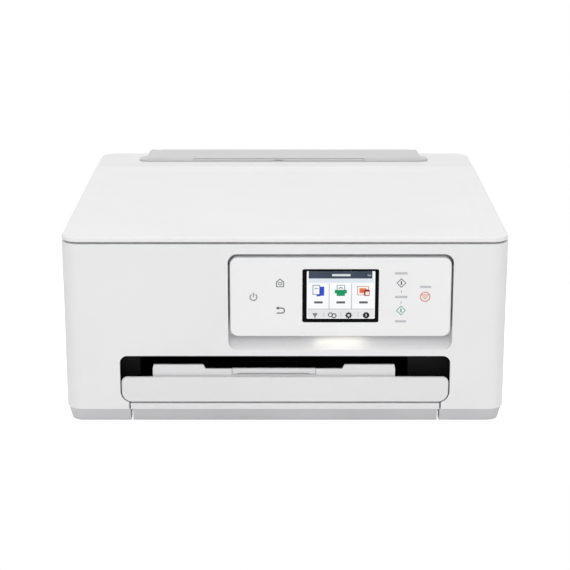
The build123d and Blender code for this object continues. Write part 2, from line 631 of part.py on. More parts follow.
with BuildPart() as panel_front:
    add(panel_form.part)
    block((PANEL_LEFT, PANEL_RIGHT), (PANEL_SPLIT, 0), (0, RIM_TOP), mode=Mode.SUBTRACT)
    with BuildSketch(FRONT_FACE.offset(-PANEL_SKIN)):
        with Locations((PANEL_CENTRE_X, PANEL_BOTTOM + PANEL_HEIGHT / 2)):
            RectangleRounded(
                PANEL_WIDTH - 2 * PANEL_SKIN, PANEL_HEIGHT - 2 * PANEL_SKIN, PANEL_CORNER - 2
            )
    extrude(amount=-PANEL_THICKNESS, mode=Mode.SUBTRACT)
    with BuildSketch(FRONT_FACE.offset(1)):
        with Locations((PANEL_CENTRE_X, DISPLAY_BOTTOM + DISPLAY_HEIGHT / 2)):
            RectangleRounded(DISPLAY_WIDTH + 0.4, DISPLAY_HEIGHT + 0.4, 1.7)
    extrude(amount=-PANEL_THICKNESS, mode=Mode.SUBTRACT)
    light_x = (PANEL_CENTRE_X - LIGHT_WIDTH / 2, PANEL_CENTRE_X + LIGHT_WIDTH / 2)
    light_y = (FRONT + 3, PANEL_SPLIT)
    block(light_x, light_y, (PANEL_BOTTOM - 1, PANEL_BOTTOM + PANEL_SKIN), mode=Mode.SUBTRACT)
    pin_reach = PANEL_SIDE_GAP + POCKET_WALL
    bar_x((PANEL_LEFT - pin_reach, PANEL_LEFT + PANEL_SKIN), PIVOT_Y, PIVOT_Z, 1.5)
    bar_x((PANEL_RIGHT - PANEL_SKIN, PANEL_RIGHT + pin_reach), PIVOT_Y, PIVOT_Z, 1.5)
panel_front.part.label = "panel_front"
export_step(panel_front.part, "parts/panel_front.step")

with BuildPart() as panel_back:
    add(panel_form.part)
    block((PANEL_LEFT, PANEL_RIGHT), (FRONT - 1, PANEL_SPLIT), (0, RIM_TOP), mode=Mode.SUBTRACT)
panel_back.part.label = "panel_back"
export_step(panel_back.part, "parts/panel_back.step")

with BuildPart() as touch_display:
    with BuildSketch(FRONT_FACE.offset(-0.1)):
        with Locations((PANEL_CENTRE_X, DISPLAY_BOTTOM + DISPLAY_HEIGHT / 2)):
            RectangleRounded(DISPLAY_WIDTH, DISPLAY_HEIGHT, 1.5)
    extrude(amount=-DISPLAY_GLASS)
touch_display.part.label = "touch_display"
export_step(touch_display.part, "parts/touch_display.step")

with BuildPart() as panel_board:
    board_inset = PANEL_SKIN + 4
    block(
        (PANEL_LEFT + board_inset, PANEL_RIGHT - board_inset),
        (PANEL_SPLIT - 1.6, PANEL_SPLIT),
        (PANEL_BOTTOM + board_inset, PANEL_TOP - board_inset - 2),
    )
    # Key sensors on the board's face
    for key_x in (PANEL_LEFT + 20, PANEL_LEFT + 42, PANEL_RIGHT - 42, PANEL_RIGHT - 22):
        board_face = PANEL_SPLIT - 1.6
        block((key_x - 4, key_x + 4), (board_face - 1.5, board_face), (104, 112))
panel_board.part.label = "panel_board"
export_step(panel_board.part, "parts/panel_board.step")

with BuildPart() as status_light_guide:
    light_z = (PANEL_BOTTOM + 0.1, PANEL_BOTTOM + PANEL_SKIN)
    block((light_x[0] + 0.1, light_x[1] - 0.1), (light_y[0] + 0.1, light_y[1]), light_z)
status_light_guide.part.label = "status_light_guide"
export_step(status_light_guide.part, "parts/status_light_guide.step")

# ---- Output slot ----------------------------------------------------------------------
LINER_FRONT = FRONT + 14.0
LINER_BACK = EJECT_Y - ROLLER_RADIUS - 4.0
LINER_TOP = SLOT_TOP + 2.5

with BuildPart() as output_slot_liner:
    left = TRAY_LEFT - RUN
    right = TRAY_RIGHT + RUN
    flank_side = SLOT_SIDE + 6
    block((left - LINER_WALL, left), (LINER_FRONT, LINER_BACK), (ROOF_TOP, LINER_TOP))
    block((right, right + LINER_WALL), (LINER_FRONT, LINER_BACK), (ROOF_TOP, LINER_TOP))
    block((-flank_side, flank_side), (LINER_FRONT, LINER_BACK), (LINER_TOP - LINER_WALL, LINER_TOP))
    # Flanks beside the duct, seen through the slot
    flank_y = (LINER_FRONT, LINER_FRONT + LINER_WALL)
    block((-flank_side, left), flank_y, (ROOF_TOP, LINER_TOP))
    block((right, flank_side), flank_y, (ROOF_TOP, LINER_TOP))
    # Rails under the tray's runners
    block((left - 1, left + 3.5), (LINER_FRONT, LINER_BACK), (RUNNER_Z - 2, RUNNER_Z))
    block((right - 3.5, right + 1), (LINER_FRONT, LINER_BACK), (RUNNER_Z - 2, RUNNER_Z))
output_slot_liner.part.label = "output_slot_liner"
export_step(output_slot_liner.part, "parts/output_slot_liner.step")

BAR_SIDE = SLOT_SIDE - BAR_GAP - 0.3
BAR_BOTTOM = SLOT_BOTTOM + BAR_GAP
BAR_TOP = BAR_BOTTOM + BAR_HEIGHT
TRAY_FLOOR = RUNNER_Z + RUN
TRAY_DECK_BACK = EJECT_Y - ROLLER_RADIUS - TRAY_DECK_GAP
TAB_X = (PAPER_CENTRE_X - TAB_SPACING / 2, PAPER_CENTRE_X + TAB_SPACING / 2)
EXTENSION_TOP = TRAY_DECK_Z
EXTENSION_BOTTOM = EXTENSION_TOP - EXTENSION_THICKNESS
EXTENSION_X = (PAPER_CENTRE_X - EXTENSION_WIDTH / 2, PAPER_CENTRE_X + EXTENSION_WIDTH / 2)
EXTENSION_FRONT = FRONT + BAR_DEPTH + 2.5
STOPPER_X = (PAPER_CENTRE_X - 20, PAPER_CENTRE_X + 20)
STOPPER_Y = (EXTENSION_FRONT + 11.0, EXTENSION_FRONT + 11.0 + STOPPER_LENGTH)
STOPPER_PIVOT_Y = STOPPER_Y[1] - EXTENSION_THICKNESS / 2
STOPPER_PIVOT_Z = (EXTENSION_TOP + EXTENSION_BOTTOM) / 2

with BuildPart() as output_tray:
    # Bar across the front
    with BuildSketch(FRONT_FACE):
        with Locations((0, (BAR_TOP + BAR_BOTTOM) / 2)):
            Rectangle(2 * BAR_SIDE, BAR_HEIGHT)
        fillet(vertices().group_by(Axis.Y)[-1], 5)
        fillet(vertices().group_by(Axis.Y)[0], 9)
    extrude(amount=-BAR_DEPTH)
    fillet(faces().sort_by(Axis.Y)[0].edges(), 1.2)
    # Tray behind it: a floor on the rails and a raised paper deck
    tray_back = FRONT + TRAY_LENGTH
    tray_y = (FRONT + BAR_DEPTH - 1, tray_back)
    block((TRAY_LEFT, TRAY_RIGHT), tray_y, (TRAY_FLOOR, TRAY_FLOOR + 2))
    deck_side = TAB_WIDTH / 2 + TAB_DRAFT
    deck_x = (TAB_X[0] - deck_side, TAB_X[1] + deck_side)
    deck_y = (FRONT + BAR_DEPTH + 1.5, TRAY_DECK_BACK)
    block(deck_x, deck_y, (TRAY_FLOOR, TRAY_DECK_Z))
    block(deck_x, (deck_y[0], deck_y[0] + LIP_DEPTH), (TRAY_FLOOR, LIP_TOP))
    block(
        (EXTENSION_X[0] - RUN, EXTENSION_X[1] + RUN),
        (deck_y[0] - 1, deck_y[1] + 1),
        (EXTENSION_BOTTOM - RUN, LIP_TOP + 1),
        mode=Mode.SUBTRACT,
    )
    block(
        (deck_x[0] + 2.5, deck_x[1] - 2.5),
        (deck_y[0] + 2.5, deck_y[1] + 1),
        (TRAY_FLOOR + 2, EXTENSION_BOTTOM - RUN - 2),
        mode=Mode.SUBTRACT,
    )
    # Two tabs on the lip: the outer side is nearly upright, the inner one slopes down
    for end, tab_x in zip((-1, 1), TAB_X):
        with BuildSketch(Plane.XZ.offset(-deck_y[0])) as tab:
            with BuildLine():
                Polyline(
                    (tab_x + end * deck_side, LIP_TOP),
                    (tab_x + end * TAB_WIDTH / 2, LIP_TOP + TAB_RISE),
                    (tab_x - end * TAB_WIDTH / 2, LIP_TOP + TAB_RISE),
                    (tab_x - end * (TAB_WIDTH + TAB_RISE) / 2, LIP_TOP),
                    close=True,
                )
            make_face()
        extrude(tab.sketch, amount=LIP_DEPTH, dir=(0, 1, 0))
output_tray.part.label = "output_tray"
export_step(output_tray.part, "parts/output_tray.step")

with BuildPart() as output_extension:
    lip_y = (EXTENSION_FRONT, EXTENSION_FRONT + LIP_DEPTH)
    block(EXTENSION_X, (EXTENSION_FRONT, TRAY_DECK_BACK), (EXTENSION_BOTTOM, EXTENSION_TOP))
    block(EXTENSION_X, lip_y, (EXTENSION_BOTTOM, LIP_TOP))
    # Grip: a thumb recess in the front edge, under its top
    with BuildSketch(Plane.XZ.offset(-EXTENSION_FRONT)):
        with Locations((PAPER_CENTRE_X, EXTENSION_BOTTOM + GRIP_RISE / 2)):
            Trapezoid(GRIP_WIDTH, GRIP_RISE, 45)
    extrude(amount=-GRIP_DEPTH, mode=Mode.SUBTRACT)
    gap_x = (STOPPER_X[0] - RUN, STOPPER_X[1] + RUN)
    gap_y = (STOPPER_Y[0] - RUN, STOPPER_Y[1] + RUN)
    block(gap_x, gap_y, (EXTENSION_BOTTOM - 1, EXTENSION_TOP + 1), mode=Mode.SUBTRACT)
    hole_x = (gap_x[0] - 2.6, gap_x[1] + 2.6)
    bar_x(hole_x, STOPPER_PIVOT_Y, STOPPER_PIVOT_Z, STOPPER_PIN + FIT, mode=Mode.SUBTRACT)
output_extension.part.label = "output_extension"
export_step(output_extension.part, "parts/output_extension.step")

with BuildPart() as output_stopper:
    flap_y = (STOPPER_Y[0], STOPPER_PIVOT_Y)
    block(STOPPER_X, flap_y, (EXTENSION_BOTTOM, EXTENSION_TOP))
    bar_x(STOPPER_X, STOPPER_PIVOT_Y, STOPPER_PIVOT_Z, EXTENSION_THICKNESS / 2)
    pin_x = (STOPPER_X[0] - 2.4, STOPPER_X[1] + 2.4)
    bar_x(pin_x, STOPPER_PIVOT_Y, STOPPER_PIVOT_Z, STOPPER_PIN)
output_stopper.part.label = "output_stopper"
export_step(output_stopper.part, "parts/output_stopper.step")

# ---- Cassette -------------------------------------------------------------------------
CASSETTE_SIDE = CASSETTE_WIDTH / 2
CASSETTE_BODY_SIDE = CHANNEL_SIDE - FLANGE - 0.5
CASSETTE_FLOOR = CASSETTE_BOTTOM + CASSETTE_WALL
FLANGE_Z = (LEDGE_Z[1] + RUN, LEDGE_Z[1] + RUN + 1.6)
RACK_Z = (CASSETTE_FLOOR + 0.2, CASSETTE_FLOOR + 1.8)
GUIDE_Z_RANGE = (CASSETTE_FLOOR + 2.1, CASSETTE_FLOOR + 2.1 + GUIDE_HEIGHT)
CASSETTE_MID_Y = FRONT + CASSETTE_CAP + 150.0

with BuildPart() as cassette:
    # Front cap: its face carries on the casing's face and the drafted band below it
    cap_y = (FRONT, FRONT + CASSETTE_CAP)
    block((-CASSETTE_SIDE, CASSETTE_SIDE), cap_y, (BAND_TOP, CASSETTE_TOP))
    side_profile(
        (-CASSETTE_SIDE + CASSETTE_UNDERCUT, CASSETTE_SIDE - CASSETTE_UNDERCUT),
        [
            (FRONT + BAND_INSET, BAND_TOP),
            (FRONT + BAND_INSET + BAND_DRAFT, FOOT_HEIGHT),
            (cap_y[1], FOOT_HEIGHT),
            (cap_y[1], BAND_TOP),
        ],
    )
    body_y = (FRONT + CASSETTE_CAP - 1, CASSETTE_BACK)
    block((-CASSETTE_BODY_SIDE, CASSETTE_BODY_SIDE), body_y, (CASSETTE_BOTTOM, CASSETTE_TOP))
    well = CASSETTE_BODY_SIDE - CASSETTE_WALL
    well_y = (FRONT + CASSETTE_CAP + 2, CASSETTE_BACK - CASSETTE_WALL)
    block((-well, well), well_y, (CASSETTE_FLOOR, CASSETTE_TOP + 1), mode=Mode.SUBTRACT)
    for flange in mirrored((CASSETTE_BODY_SIDE - 1, CHANNEL_SIDE - RUN)):
        block(flange, (FRONT + CASSETTE_CAP + 8, CASSETTE_BACK), FLANGE_Z)
    # Pin of the width guides' pinion
    post(PAPER_CENTRE_X, CASSETTE_MID_Y, (CASSETTE_FLOOR - 1, RACK_Z[1] + 1), PINION_PIN)
cassette.part.label = "cassette"
export_step(cassette.part, "parts/cassette.step")

with BuildPart() as cassette_guide_left:
    plate_x = (PAPER_CENTRE_X - PAPER_HALF - 1.6, PAPER_CENTRE_X - PAPER_HALF)
    rack_y = (CASSETTE_MID_Y + PINION_RADIUS + RUN, CASSETTE_MID_Y + PINION_RADIUS + RUN + RACK_WIDTH)
    block(plate_x, (CASSETTE_MID_Y - 45, CASSETTE_MID_Y + 45), GUIDE_Z_RANGE)
    block((plate_x[0] - 10, plate_x[1]), (CASSETTE_MID_Y - 20, CASSETTE_MID_Y + 20),
          (GUIDE_Z_RANGE[0], GUIDE_Z_RANGE[0] + 1.2))
    block((plate_x[0], PAPER_CENTRE_X + RACK_REACH), rack_y, RACK_Z)
    block(plate_x, rack_y, (RACK_Z[0], GUIDE_Z_RANGE[0] + 1))
cassette_guide_left.part.label = "cassette_guide_left"
export_step(cassette_guide_left.part, "parts/cassette_guide_left.step")

with BuildPart() as cassette_guide_right:
    plate_x = (PAPER_CENTRE_X + PAPER_HALF, PAPER_CENTRE_X + PAPER_HALF + 1.6)
    rack_y = (CASSETTE_MID_Y - PINION_RADIUS - RUN - RACK_WIDTH, CASSETTE_MID_Y - PINION_RADIUS - RUN)
    block(plate_x, (CASSETTE_MID_Y - 45, CASSETTE_MID_Y + 45), GUIDE_Z_RANGE)
    block((plate_x[0], plate_x[1] + 10), (CASSETTE_MID_Y - 20, CASSETTE_MID_Y + 20),
          (GUIDE_Z_RANGE[0], GUIDE_Z_RANGE[0] + 1.2))
    block((PAPER_CENTRE_X - RACK_REACH, plate_x[1]), rack_y, RACK_Z)
    block(plate_x, rack_y, (RACK_Z[0], GUIDE_Z_RANGE[0] + 1))
cassette_guide_right.part.label = "cassette_guide_right"
export_step(cassette_guide_right.part, "parts/cassette_guide_right.step")

with BuildPart() as cassette_pinion:
    with BuildSketch(Plane.XY.offset(RACK_Z[0])):
        with Locations((PAPER_CENTRE_X, CASSETTE_MID_Y)):
            Circle(PINION_RADIUS)
            with PolarLocations(PINION_RADIUS, 16):
                Circle(0.6, mode=Mode.SUBTRACT)
            Circle(PINION_PIN + FIT, mode=Mode.SUBTRACT)
    extrude(amount=RACK_Z[1] - RACK_Z[0])
cassette_pinion.part.label = "cassette_pinion"
export_step(cassette_pinion.part, "parts/cassette_pinion.step")

with BuildPart() as cassette_length_guide:
    stop_y = (FRONT + CASSETTE_CAP + 3.5, FRONT + CASSETTE_CAP + 5.5)
    block((PAPER_CENTRE_X - 24, PAPER_CENTRE_X + 24), stop_y, (CASSETTE_FLOOR + 0.2, CASSETTE_TOP - 2))
    block((PAPER_CENTRE_X - 14, PAPER_CENTRE_X + 14), (stop_y[0], stop_y[1] + 16),
          (CASSETTE_FLOOR + 0.2, CASSETTE_FLOOR + 1.6))
cassette_length_guide.part.label = "cassette_length_guide"
export_step(cassette_length_guide.part, "parts/cassette_length_guide.step")

# ---- Print engine ---------------------------------------------------------------------
PLATE_INNER = ENGINE_HALF_WIDTH - SHEET
WALL_BACK = ENGINE_BACK + SHEET
GEAR_X = (-ENGINE_HALF_WIDTH - 7.0, -ENGINE_HALF_WIDTH - 2.0)
GEAR_RADIUS = (ROLLER_SPACING - 2 * IDLER_RADIUS - 2 * RUN) / 2
IDLER_Y = (EJECT_Y + FEED_Y) / 2
FEED_MOTOR_Y = FEED_Y + GEAR_RADIUS + RUN + MOTOR_PINION
ROD_Y = FEED_Y + 30.0
ROD_Z = PAPER_LINE + 24.0
PULLEY_Z = ROD_Z + 8.0
PULLEY_Y = (ENGINE_BACK - 13.0, ENGINE_BACK - 7.0)
BELT_INNER = PULLEY_RADIUS + RUN
PINCH_Z = PAPER_LINE + RUN + PINCH_RADIUS
STAR_Z = PAPER_LINE + RUN + STAR_RADIUS
ROLLER_PLACES = [PAPER_CENTRE_X + step * 44.0 for step in (-2, -1, 0, 1, 2)]

with BuildPart() as chassis_frame:
    # Back wall with the paper window, and a side plate at each end
    block((-PLATE_INNER, PLATE_INNER), (ENGINE_BACK, WALL_BACK), (ROOF_TOP + 8, ENGINE_TOP))
    window_x = (PAPER_LEFT - 5, PAPER_RIGHT + 5)
    block(window_x, (ENGINE_BACK - 1, WALL_BACK + 1), (PAPER_LINE - 9, PAPER_LINE + 7),
          mode=Mode.SUBTRACT)
    for plate in mirrored((PLATE_INNER, ENGINE_HALF_WIDTH)):
        block(plate, (EJECT_Y - 10, WALL_BACK), (BASE_FLOOR, ENGINE_TOP))
        block(plate, (EJECT_Y - 11, IDLER_Y), (ENGINE_TOP - 30, ENGINE_TOP + 1), mode=Mode.SUBTRACT)
        for shaft_y in (EJECT_Y, FEED_Y):
            bar_x(plate, shaft_y, ROLLER_Z, SHAFT_RADIUS + FIT, mode=Mode.SUBTRACT)
    motor_hole = (-ENGINE_HALF_WIDTH - 1, -PLATE_INNER + 1)
    bar_x(motor_hole, FEED_MOTOR_Y, ROLLER_Z, 2.5, mode=Mode.SUBTRACT)
    bar_x((GEAR_X[0], -PLATE_INNER), IDLER_Y, ROLLER_Z, 2.0)
    # Hole of the carriage motor's shaft, and the idler pulley's pin
    with BuildSketch(Plane.XZ.offset(-ENGINE_BACK)):
        with Locations((PULLEY_X, PULLEY_Z)):
            Circle(2.0)
    extrude(amount=ENGINE_BACK - PULLEY_Y[0])
    with BuildSketch(Plane.XZ.offset(-ENGINE_BACK + 1)):
        with Locations((-PULLEY_X, PULLEY_Z)):
            Circle(2.5)
    extrude(amount=-SHEET - 2, mode=Mode.SUBTRACT)
    # Bracket over the pinch rollers, and bar over the star wheels
    roller_row = (ROLLER_PLACES[0] - 14, ROLLER_PLACES[-1] + 14)
    pinch_z = (PINCH_Z + PINCH_RADIUS + 0.8, PINCH_Z + PINCH_RADIUS + 2.0)
    star_z = (STAR_Z + STAR_RADIUS + 0.8, STAR_Z + STAR_RADIUS + 2.0)
    block(roller_row, (FEED_Y - 3, ENGINE_BACK + 0.5), pinch_z)
    block((-PLATE_INNER, PLATE_INNER), (EJECT_Y - 4, EJECT_Y + 4), star_z)
    for place in (roller_row[0] + 2, PAPER_CENTRE_X - 22, PAPER_CENTRE_X + 22, roller_row[1] - 2):
        cheek = (place - 1, place + 1)
        block(cheek, (FEED_Y - 3, FEED_Y + 3), (PINCH_Z - 3, pinch_z[0]))
        bar_x(cheek, FEED_Y, PINCH_Z, 1.5 + FIT, mode=Mode.SUBTRACT)
        block(cheek, (EJECT_Y - 3, EJECT_Y + 3), (STAR_Z - 3, star_z[0]))
        bar_x(cheek, EJECT_Y, STAR_Z, 1.2 + FIT, mode=Mode.SUBTRACT)
chassis_frame.part.label = "chassis_frame"
export_step(chassis_frame.part, "parts/chassis_frame.step")

with BuildPart() as platen:
    platen_x = (PAPER_LEFT - 3, PAPER_RIGHT + 3)
    platen_y = (EJECT_Y + ROLLER_RADIUS + 3, FEED_Y - ROLLER_RADIUS - 3)
    block(platen_x, platen_y, (PAPER_LINE - 6, PAPER_LINE - 1.5))
    with GridLocations(18, 0, 12, 1):
        with Locations((PAPER_CENTRE_X, (platen_y[0] + platen_y[1]) / 2, PAPER_LINE - 1.2)):
            Box(1.6, platen_y[1] - platen_y[0] - 6, 1.4)
    block(platen_x, (platen_y[1] - 12, platen_y[1] - 8), (ROOF_TOP, PAPER_LINE - 5))
platen.part.label = "platen"
export_step(platen.part, "parts/platen.step")

with BuildPart() as feed_roller:
    bar_x((-ENGINE_HALF_WIDTH - 7, ENGINE_HALF_WIDTH + 1), FEED_Y, ROLLER_Z, SHAFT_RADIUS)
    bar_x((PAPER_LEFT, PAPER_RIGHT), FEED_Y, ROLLER_Z, ROLLER_RADIUS)
    with BuildSketch(Plane.YZ.offset(GEAR_X[0])):
        with Locations((FEED_Y, ROLLER_Z)):
            Circle(GEAR_RADIUS)
            with PolarLocations(GEAR_RADIUS, 40):
                Circle(0.9, mode=Mode.SUBTRACT)
    extrude(amount=GEAR_X[1] - GEAR_X[0])
feed_roller.part.label = "feed_roller"
export_step(feed_roller.part, "parts/feed_roller.step")

with BuildPart() as eject_roller:
    bar_x((-ENGINE_HALF_WIDTH - 7, ENGINE_HALF_WIDTH + 1), EJECT_Y, ROLLER_Z, SHAFT_RADIUS)
    for place in ROLLER_PLACES:
        bar_x((place - 7, place + 7), EJECT_Y, ROLLER_Z, ROLLER_RADIUS)
    with BuildSketch(Plane.YZ.offset(GEAR_X[0])):
        with Locations((EJECT_Y, ROLLER_Z)):
            Circle(GEAR_RADIUS)
            with PolarLocations(GEAR_RADIUS, 40):
                Circle(0.9, mode=Mode.SUBTRACT)
    extrude(amount=GEAR_X[1] - GEAR_X[0])
eject_roller.part.label = "eject_roller"
export_step(eject_roller.part, "parts/eject_roller.step")

with BuildPart() as idler_gear:
    with BuildSketch(Plane.YZ.offset(GEAR_X[0])):
        with Locations((IDLER_Y, ROLLER_Z)):
            Circle(IDLER_RADIUS)
            with PolarLocations(IDLER_RADIUS, 28):
                Circle(0.9, mode=Mode.SUBTRACT)
            Circle(2.0 + FIT, mode=Mode.SUBTRACT)
    extrude(amount=GEAR_X[1] - GEAR_X[0])
idler_gear.part.label = "idler_gear"
export_step(idler_gear.part, "parts/idler_gear.step")

with BuildPart() as feed_motor:
    bar_x((-PLATE_INNER, -PLATE_INNER + 26), FEED_MOTOR_Y, ROLLER_Z, 12)
    bar_x((GEAR_X[0], -PLATE_INNER), FEED_MOTOR_Y, ROLLER_Z, 2.0)
    bar_x(GEAR_X, FEED_MOTOR_Y, ROLLER_Z, MOTOR_PINION)
feed_motor.part.label = "feed_motor"
export_step(feed_motor.part, "parts/feed_motor.step")

with BuildPart() as pinch_rollers:
    bar_x((ROLLER_PLACES[0] - 14, ROLLER_PLACES[-1] + 14), FEED_Y, PINCH_Z, 1.5)
    for place in ROLLER_PLACES:
        bar_x((place - 9, place + 9), FEED_Y, PINCH_Z, PINCH_RADIUS)
pinch_rollers.part.label = "pinch_rollers"
export_step(pinch_rollers.part, "parts/pinch_rollers.step")

with BuildPart() as star_wheels:
    bar_x((ROLLER_PLACES[0] - 14, ROLLER_PLACES[-1] + 14), EJECT_Y, STAR_Z, 1.2)
    for place in ROLLER_PLACES:
        with BuildSketch(Plane.YZ.offset(place - 1)):
            with Locations((EJECT_Y, STAR_Z)):
                Circle(STAR_RADIUS)
                with PolarLocations(STAR_RADIUS, 12):
                    Circle(0.9, mode=Mode.SUBTRACT)
        extrude(amount=2)
star_wheels.part.label = "star_wheels"
export_step(star_wheels.part, "parts/star_wheels.step")

# ---- Carriage -------------------------------------------------------------------------
CARRIAGE_X = (CARRIAGE_HOME_X - CARRIAGE_WIDTH / 2, CARRIAGE_HOME_X + CARRIAGE_WIDTH / 2)
CARRIAGE_Y = (EJECT_Y + 10.0, ROD_Y + 6.0)
CARRIAGE_FLOOR = PAPER_LINE + 14.0
CARRIAGE_TOP = PAPER_LINE + 46.0
NOSE_Y = (EJECT_Y + 14.0, FEED_Y - 16.0)
NOSE_BOTTOM = PAPER_LINE + 2.0
CARTRIDGE_TOP = CARRIAGE_TOP - 4.0
CARTRIDGE_X = [CARRIAGE_HOME_X - 18.0, CARRIAGE_HOME_X + 18.0]
LEVER_PIVOT_Y = FEED_Y + 4.0
LEVER_PIVOT_Z = CARRIAGE_TOP - 3.0

with BuildPart() as carriage_guide_rod:
    bar_x((-PLATE_INNER, PLATE_INNER), ROD_Y, ROD_Z, GUIDE_ROD_RADIUS)
carriage_guide_rod.part.label = "carriage_guide_rod"
export_step(carriage_guide_rod.part, "parts/carriage_guide_rod.step")

with BuildPart() as print_carriage:
    block(CARRIAGE_X, CARRIAGE_Y, (CARRIAGE_FLOOR, CARRIAGE_TOP))
    block((CARRIAGE_X[0] + 5, CARRIAGE_X[1] - 5), NOSE_Y, (NOSE_BOTTOM, CARRIAGE_FLOOR))
    # Two open bays for the cartridges
    for bay_x in CARTRIDGE_X:
        bay = (bay_x - CARTRIDGE_WIDTH / 2 - RUN, bay_x + CARTRIDGE_WIDTH / 2 + RUN)
        bay_y = (NOSE_Y[0] + 2, FEED_Y - 4)
        block(bay, bay_y, (CARRIAGE_FLOOR + 1.5, CARRIAGE_TOP + 1), mode=Mode.SUBTRACT)
        block(bay, (bay_y[0], NOSE_Y[1] - 2), (NOSE_BOTTOM + 1.5, CARRIAGE_TOP), mode=Mode.SUBTRACT)
        lever_bay = (LEVER_PIVOT_Y - 5, LEVER_PIVOT_Y + 5)
        block(bay, lever_bay, (LEVER_PIVOT_Z - 5, CARRIAGE_TOP + 1), mode=Mode.SUBTRACT)
        block(bay, (bay_y[0] - 5, LEVER_PIVOT_Y), (CARTRIDGE_TOP, CARRIAGE_TOP + 1),
              mode=Mode.SUBTRACT)
        pin_x = (bay[0] - 1.8, bay[1] + 1.8)
        bar_x(pin_x, LEVER_PIVOT_Y, LEVER_PIVOT_Z, LEVER_PIN + FIT, mode=Mode.SUBTRACT)
    # The bore of the guide rod
    bore = (CARRIAGE_X[0] - 1, CARRIAGE_X[1] + 1)
    bar_x(bore, ROD_Y, ROD_Z, GUIDE_ROD_RADIUS + FIT, mode=Mode.SUBTRACT)
    # Clamp round the belt's lower run
    clamp_x = (CARRIAGE_HOME_X - 6, CARRIAGE_HOME_X + 6)
    belt_low = PULLEY_Z - BELT_INNER - BELT_THICKNESS
    block(clamp_x, (CARRIAGE_Y[1], PULLEY_Y[0]), (belt_low - 3, belt_low + 4))
    block(clamp_x, (CARRIAGE_Y[1], PULLEY_Y[1]), (belt_low - 3, belt_low - RUN))
    block(clamp_x, (CARRIAGE_Y[1], PULLEY_Y[1]), (belt_low + BELT_THICKNESS + RUN, belt_low + 4))
print_carriage.part.label = "print_carriage"
export_step(print_carriage.part, "parts/print_carriage.step")

cartridge_y = (NOSE_Y[0] + 2 + CARTRIDGE_SLACK, NOSE_Y[1] - 2 - CARTRIDGE_SLACK)
cartridge_z = (NOSE_BOTTOM + 1.5, CARTRIDGE_TOP - 1)

with BuildPart() as ink_cartridges:
    for cartridge_centre in CARTRIDGE_X:
        cartridge_x = (
            cartridge_centre - CARTRIDGE_WIDTH / 2,
            cartridge_centre + CARTRIDGE_WIDTH / 2,
        )
        block(cartridge_x, cartridge_y, cartridge_z)
    fillet(edges().filter_by(Axis.Z), 1.5)
ink_cartridges.part.label = "ink_cartridges"
export_step(ink_cartridges.part, "parts/ink_cartridges.step")

with BuildPart() as colour_lever:
    lever_side = CARTRIDGE_WIDTH / 2 - 0.5
    lever_x = (CARTRIDGE_X[0] - lever_side, CARTRIDGE_X[0] + lever_side)
    lever_y = (NOSE_Y[0] + 1, LEVER_PIVOT_Y)
    block(lever_x, lever_y, (LEVER_PIVOT_Z, LEVER_PIVOT_Z + 2.5))
    bar_x(lever_x, LEVER_PIVOT_Y, LEVER_PIVOT_Z, 2.5)
    bar_x((lever_x[0] - 2, lever_x[1] + 2), LEVER_PIVOT_Y, LEVER_PIVOT_Z, LEVER_PIN)
colour_lever.part.label = "colour_lever"
export_step(colour_lever.part, "parts/colour_lever.step")

with BuildPart() as black_lever:
    lever_x = (CARTRIDGE_X[1] - lever_side, CARTRIDGE_X[1] + lever_side)
    block(lever_x, lever_y, (LEVER_PIVOT_Z, LEVER_PIVOT_Z + 2.5))
    bar_x(lever_x, LEVER_PIVOT_Y, LEVER_PIVOT_Z, 2.5)
    bar_x((lever_x[0] - 2, lever_x[1] + 2), LEVER_PIVOT_Y, LEVER_PIVOT_Z, LEVER_PIN)
black_lever.part.label = "black_lever"
export_step(black_lever.part, "parts/black_lever.step")

with BuildPart() as carriage_motor:
    with BuildSketch(Plane.XZ.offset(-WALL_BACK)):
        with Locations((-PULLEY_X, PULLEY_Z)):
            Circle(13)
    extrude(amount=-22)
    with BuildSketch(Plane.XZ.offset(-WALL_BACK)):
        with Locations((-PULLEY_X, PULLEY_Z)):
            Circle(1.5)
    extrude(amount=WALL_BACK - PULLEY_Y[0])
carriage_motor.part.label = "carriage_motor"
export_step(carriage_motor.part, "parts/carriage_motor.step")

with BuildPart() as drive_pulley:
    with BuildSketch(Plane.XZ.offset(-PULLEY_Y[0])):
        with Locations((-PULLEY_X, PULLEY_Z)):
            Circle(PULLEY_RADIUS)
            with PolarLocations(PULLEY_RADIUS, 20):
                Circle(0.5, mode=Mode.SUBTRACT)
            Circle(1.5 + FIT, mode=Mode.SUBTRACT)
    extrude(amount=-(PULLEY_Y[1] - PULLEY_Y[0]))
drive_pulley.part.label = "drive_pulley"
export_step(drive_pulley.part, "parts/drive_pulley.step")

with BuildPart() as idler_pulley:
    with BuildSketch(Plane.XZ.offset(-PULLEY_Y[0])):
        with Locations((PULLEY_X, PULLEY_Z)):
            Circle(PULLEY_RADIUS)
            Circle(2.0 + FIT, mode=Mode.SUBTRACT)
    extrude(amount=-(PULLEY_Y[1] - PULLEY_Y[0]))
idler_pulley.part.label = "idler_pulley"
export_step(idler_pulley.part, "parts/idler_pulley.step")

with BuildPart() as carriage_belt:
    with BuildSketch(Plane.XZ.offset(-PULLEY_Y[0] - 0.5)):
        with Locations((0, PULLEY_Z)):
            SlotCenterToCenter(2 * PULLEY_X, 2 * (BELT_INNER + BELT_THICKNESS))
            SlotCenterToCenter(2 * PULLEY_X, 2 * BELT_INNER, mode=Mode.SUBTRACT)
    extrude(amount=-(PULLEY_Y[1] - PULLEY_Y[0] - 1))
carriage_belt.part.label = "carriage_belt"
export_step(carriage_belt.part, "parts/carriage_belt.step")

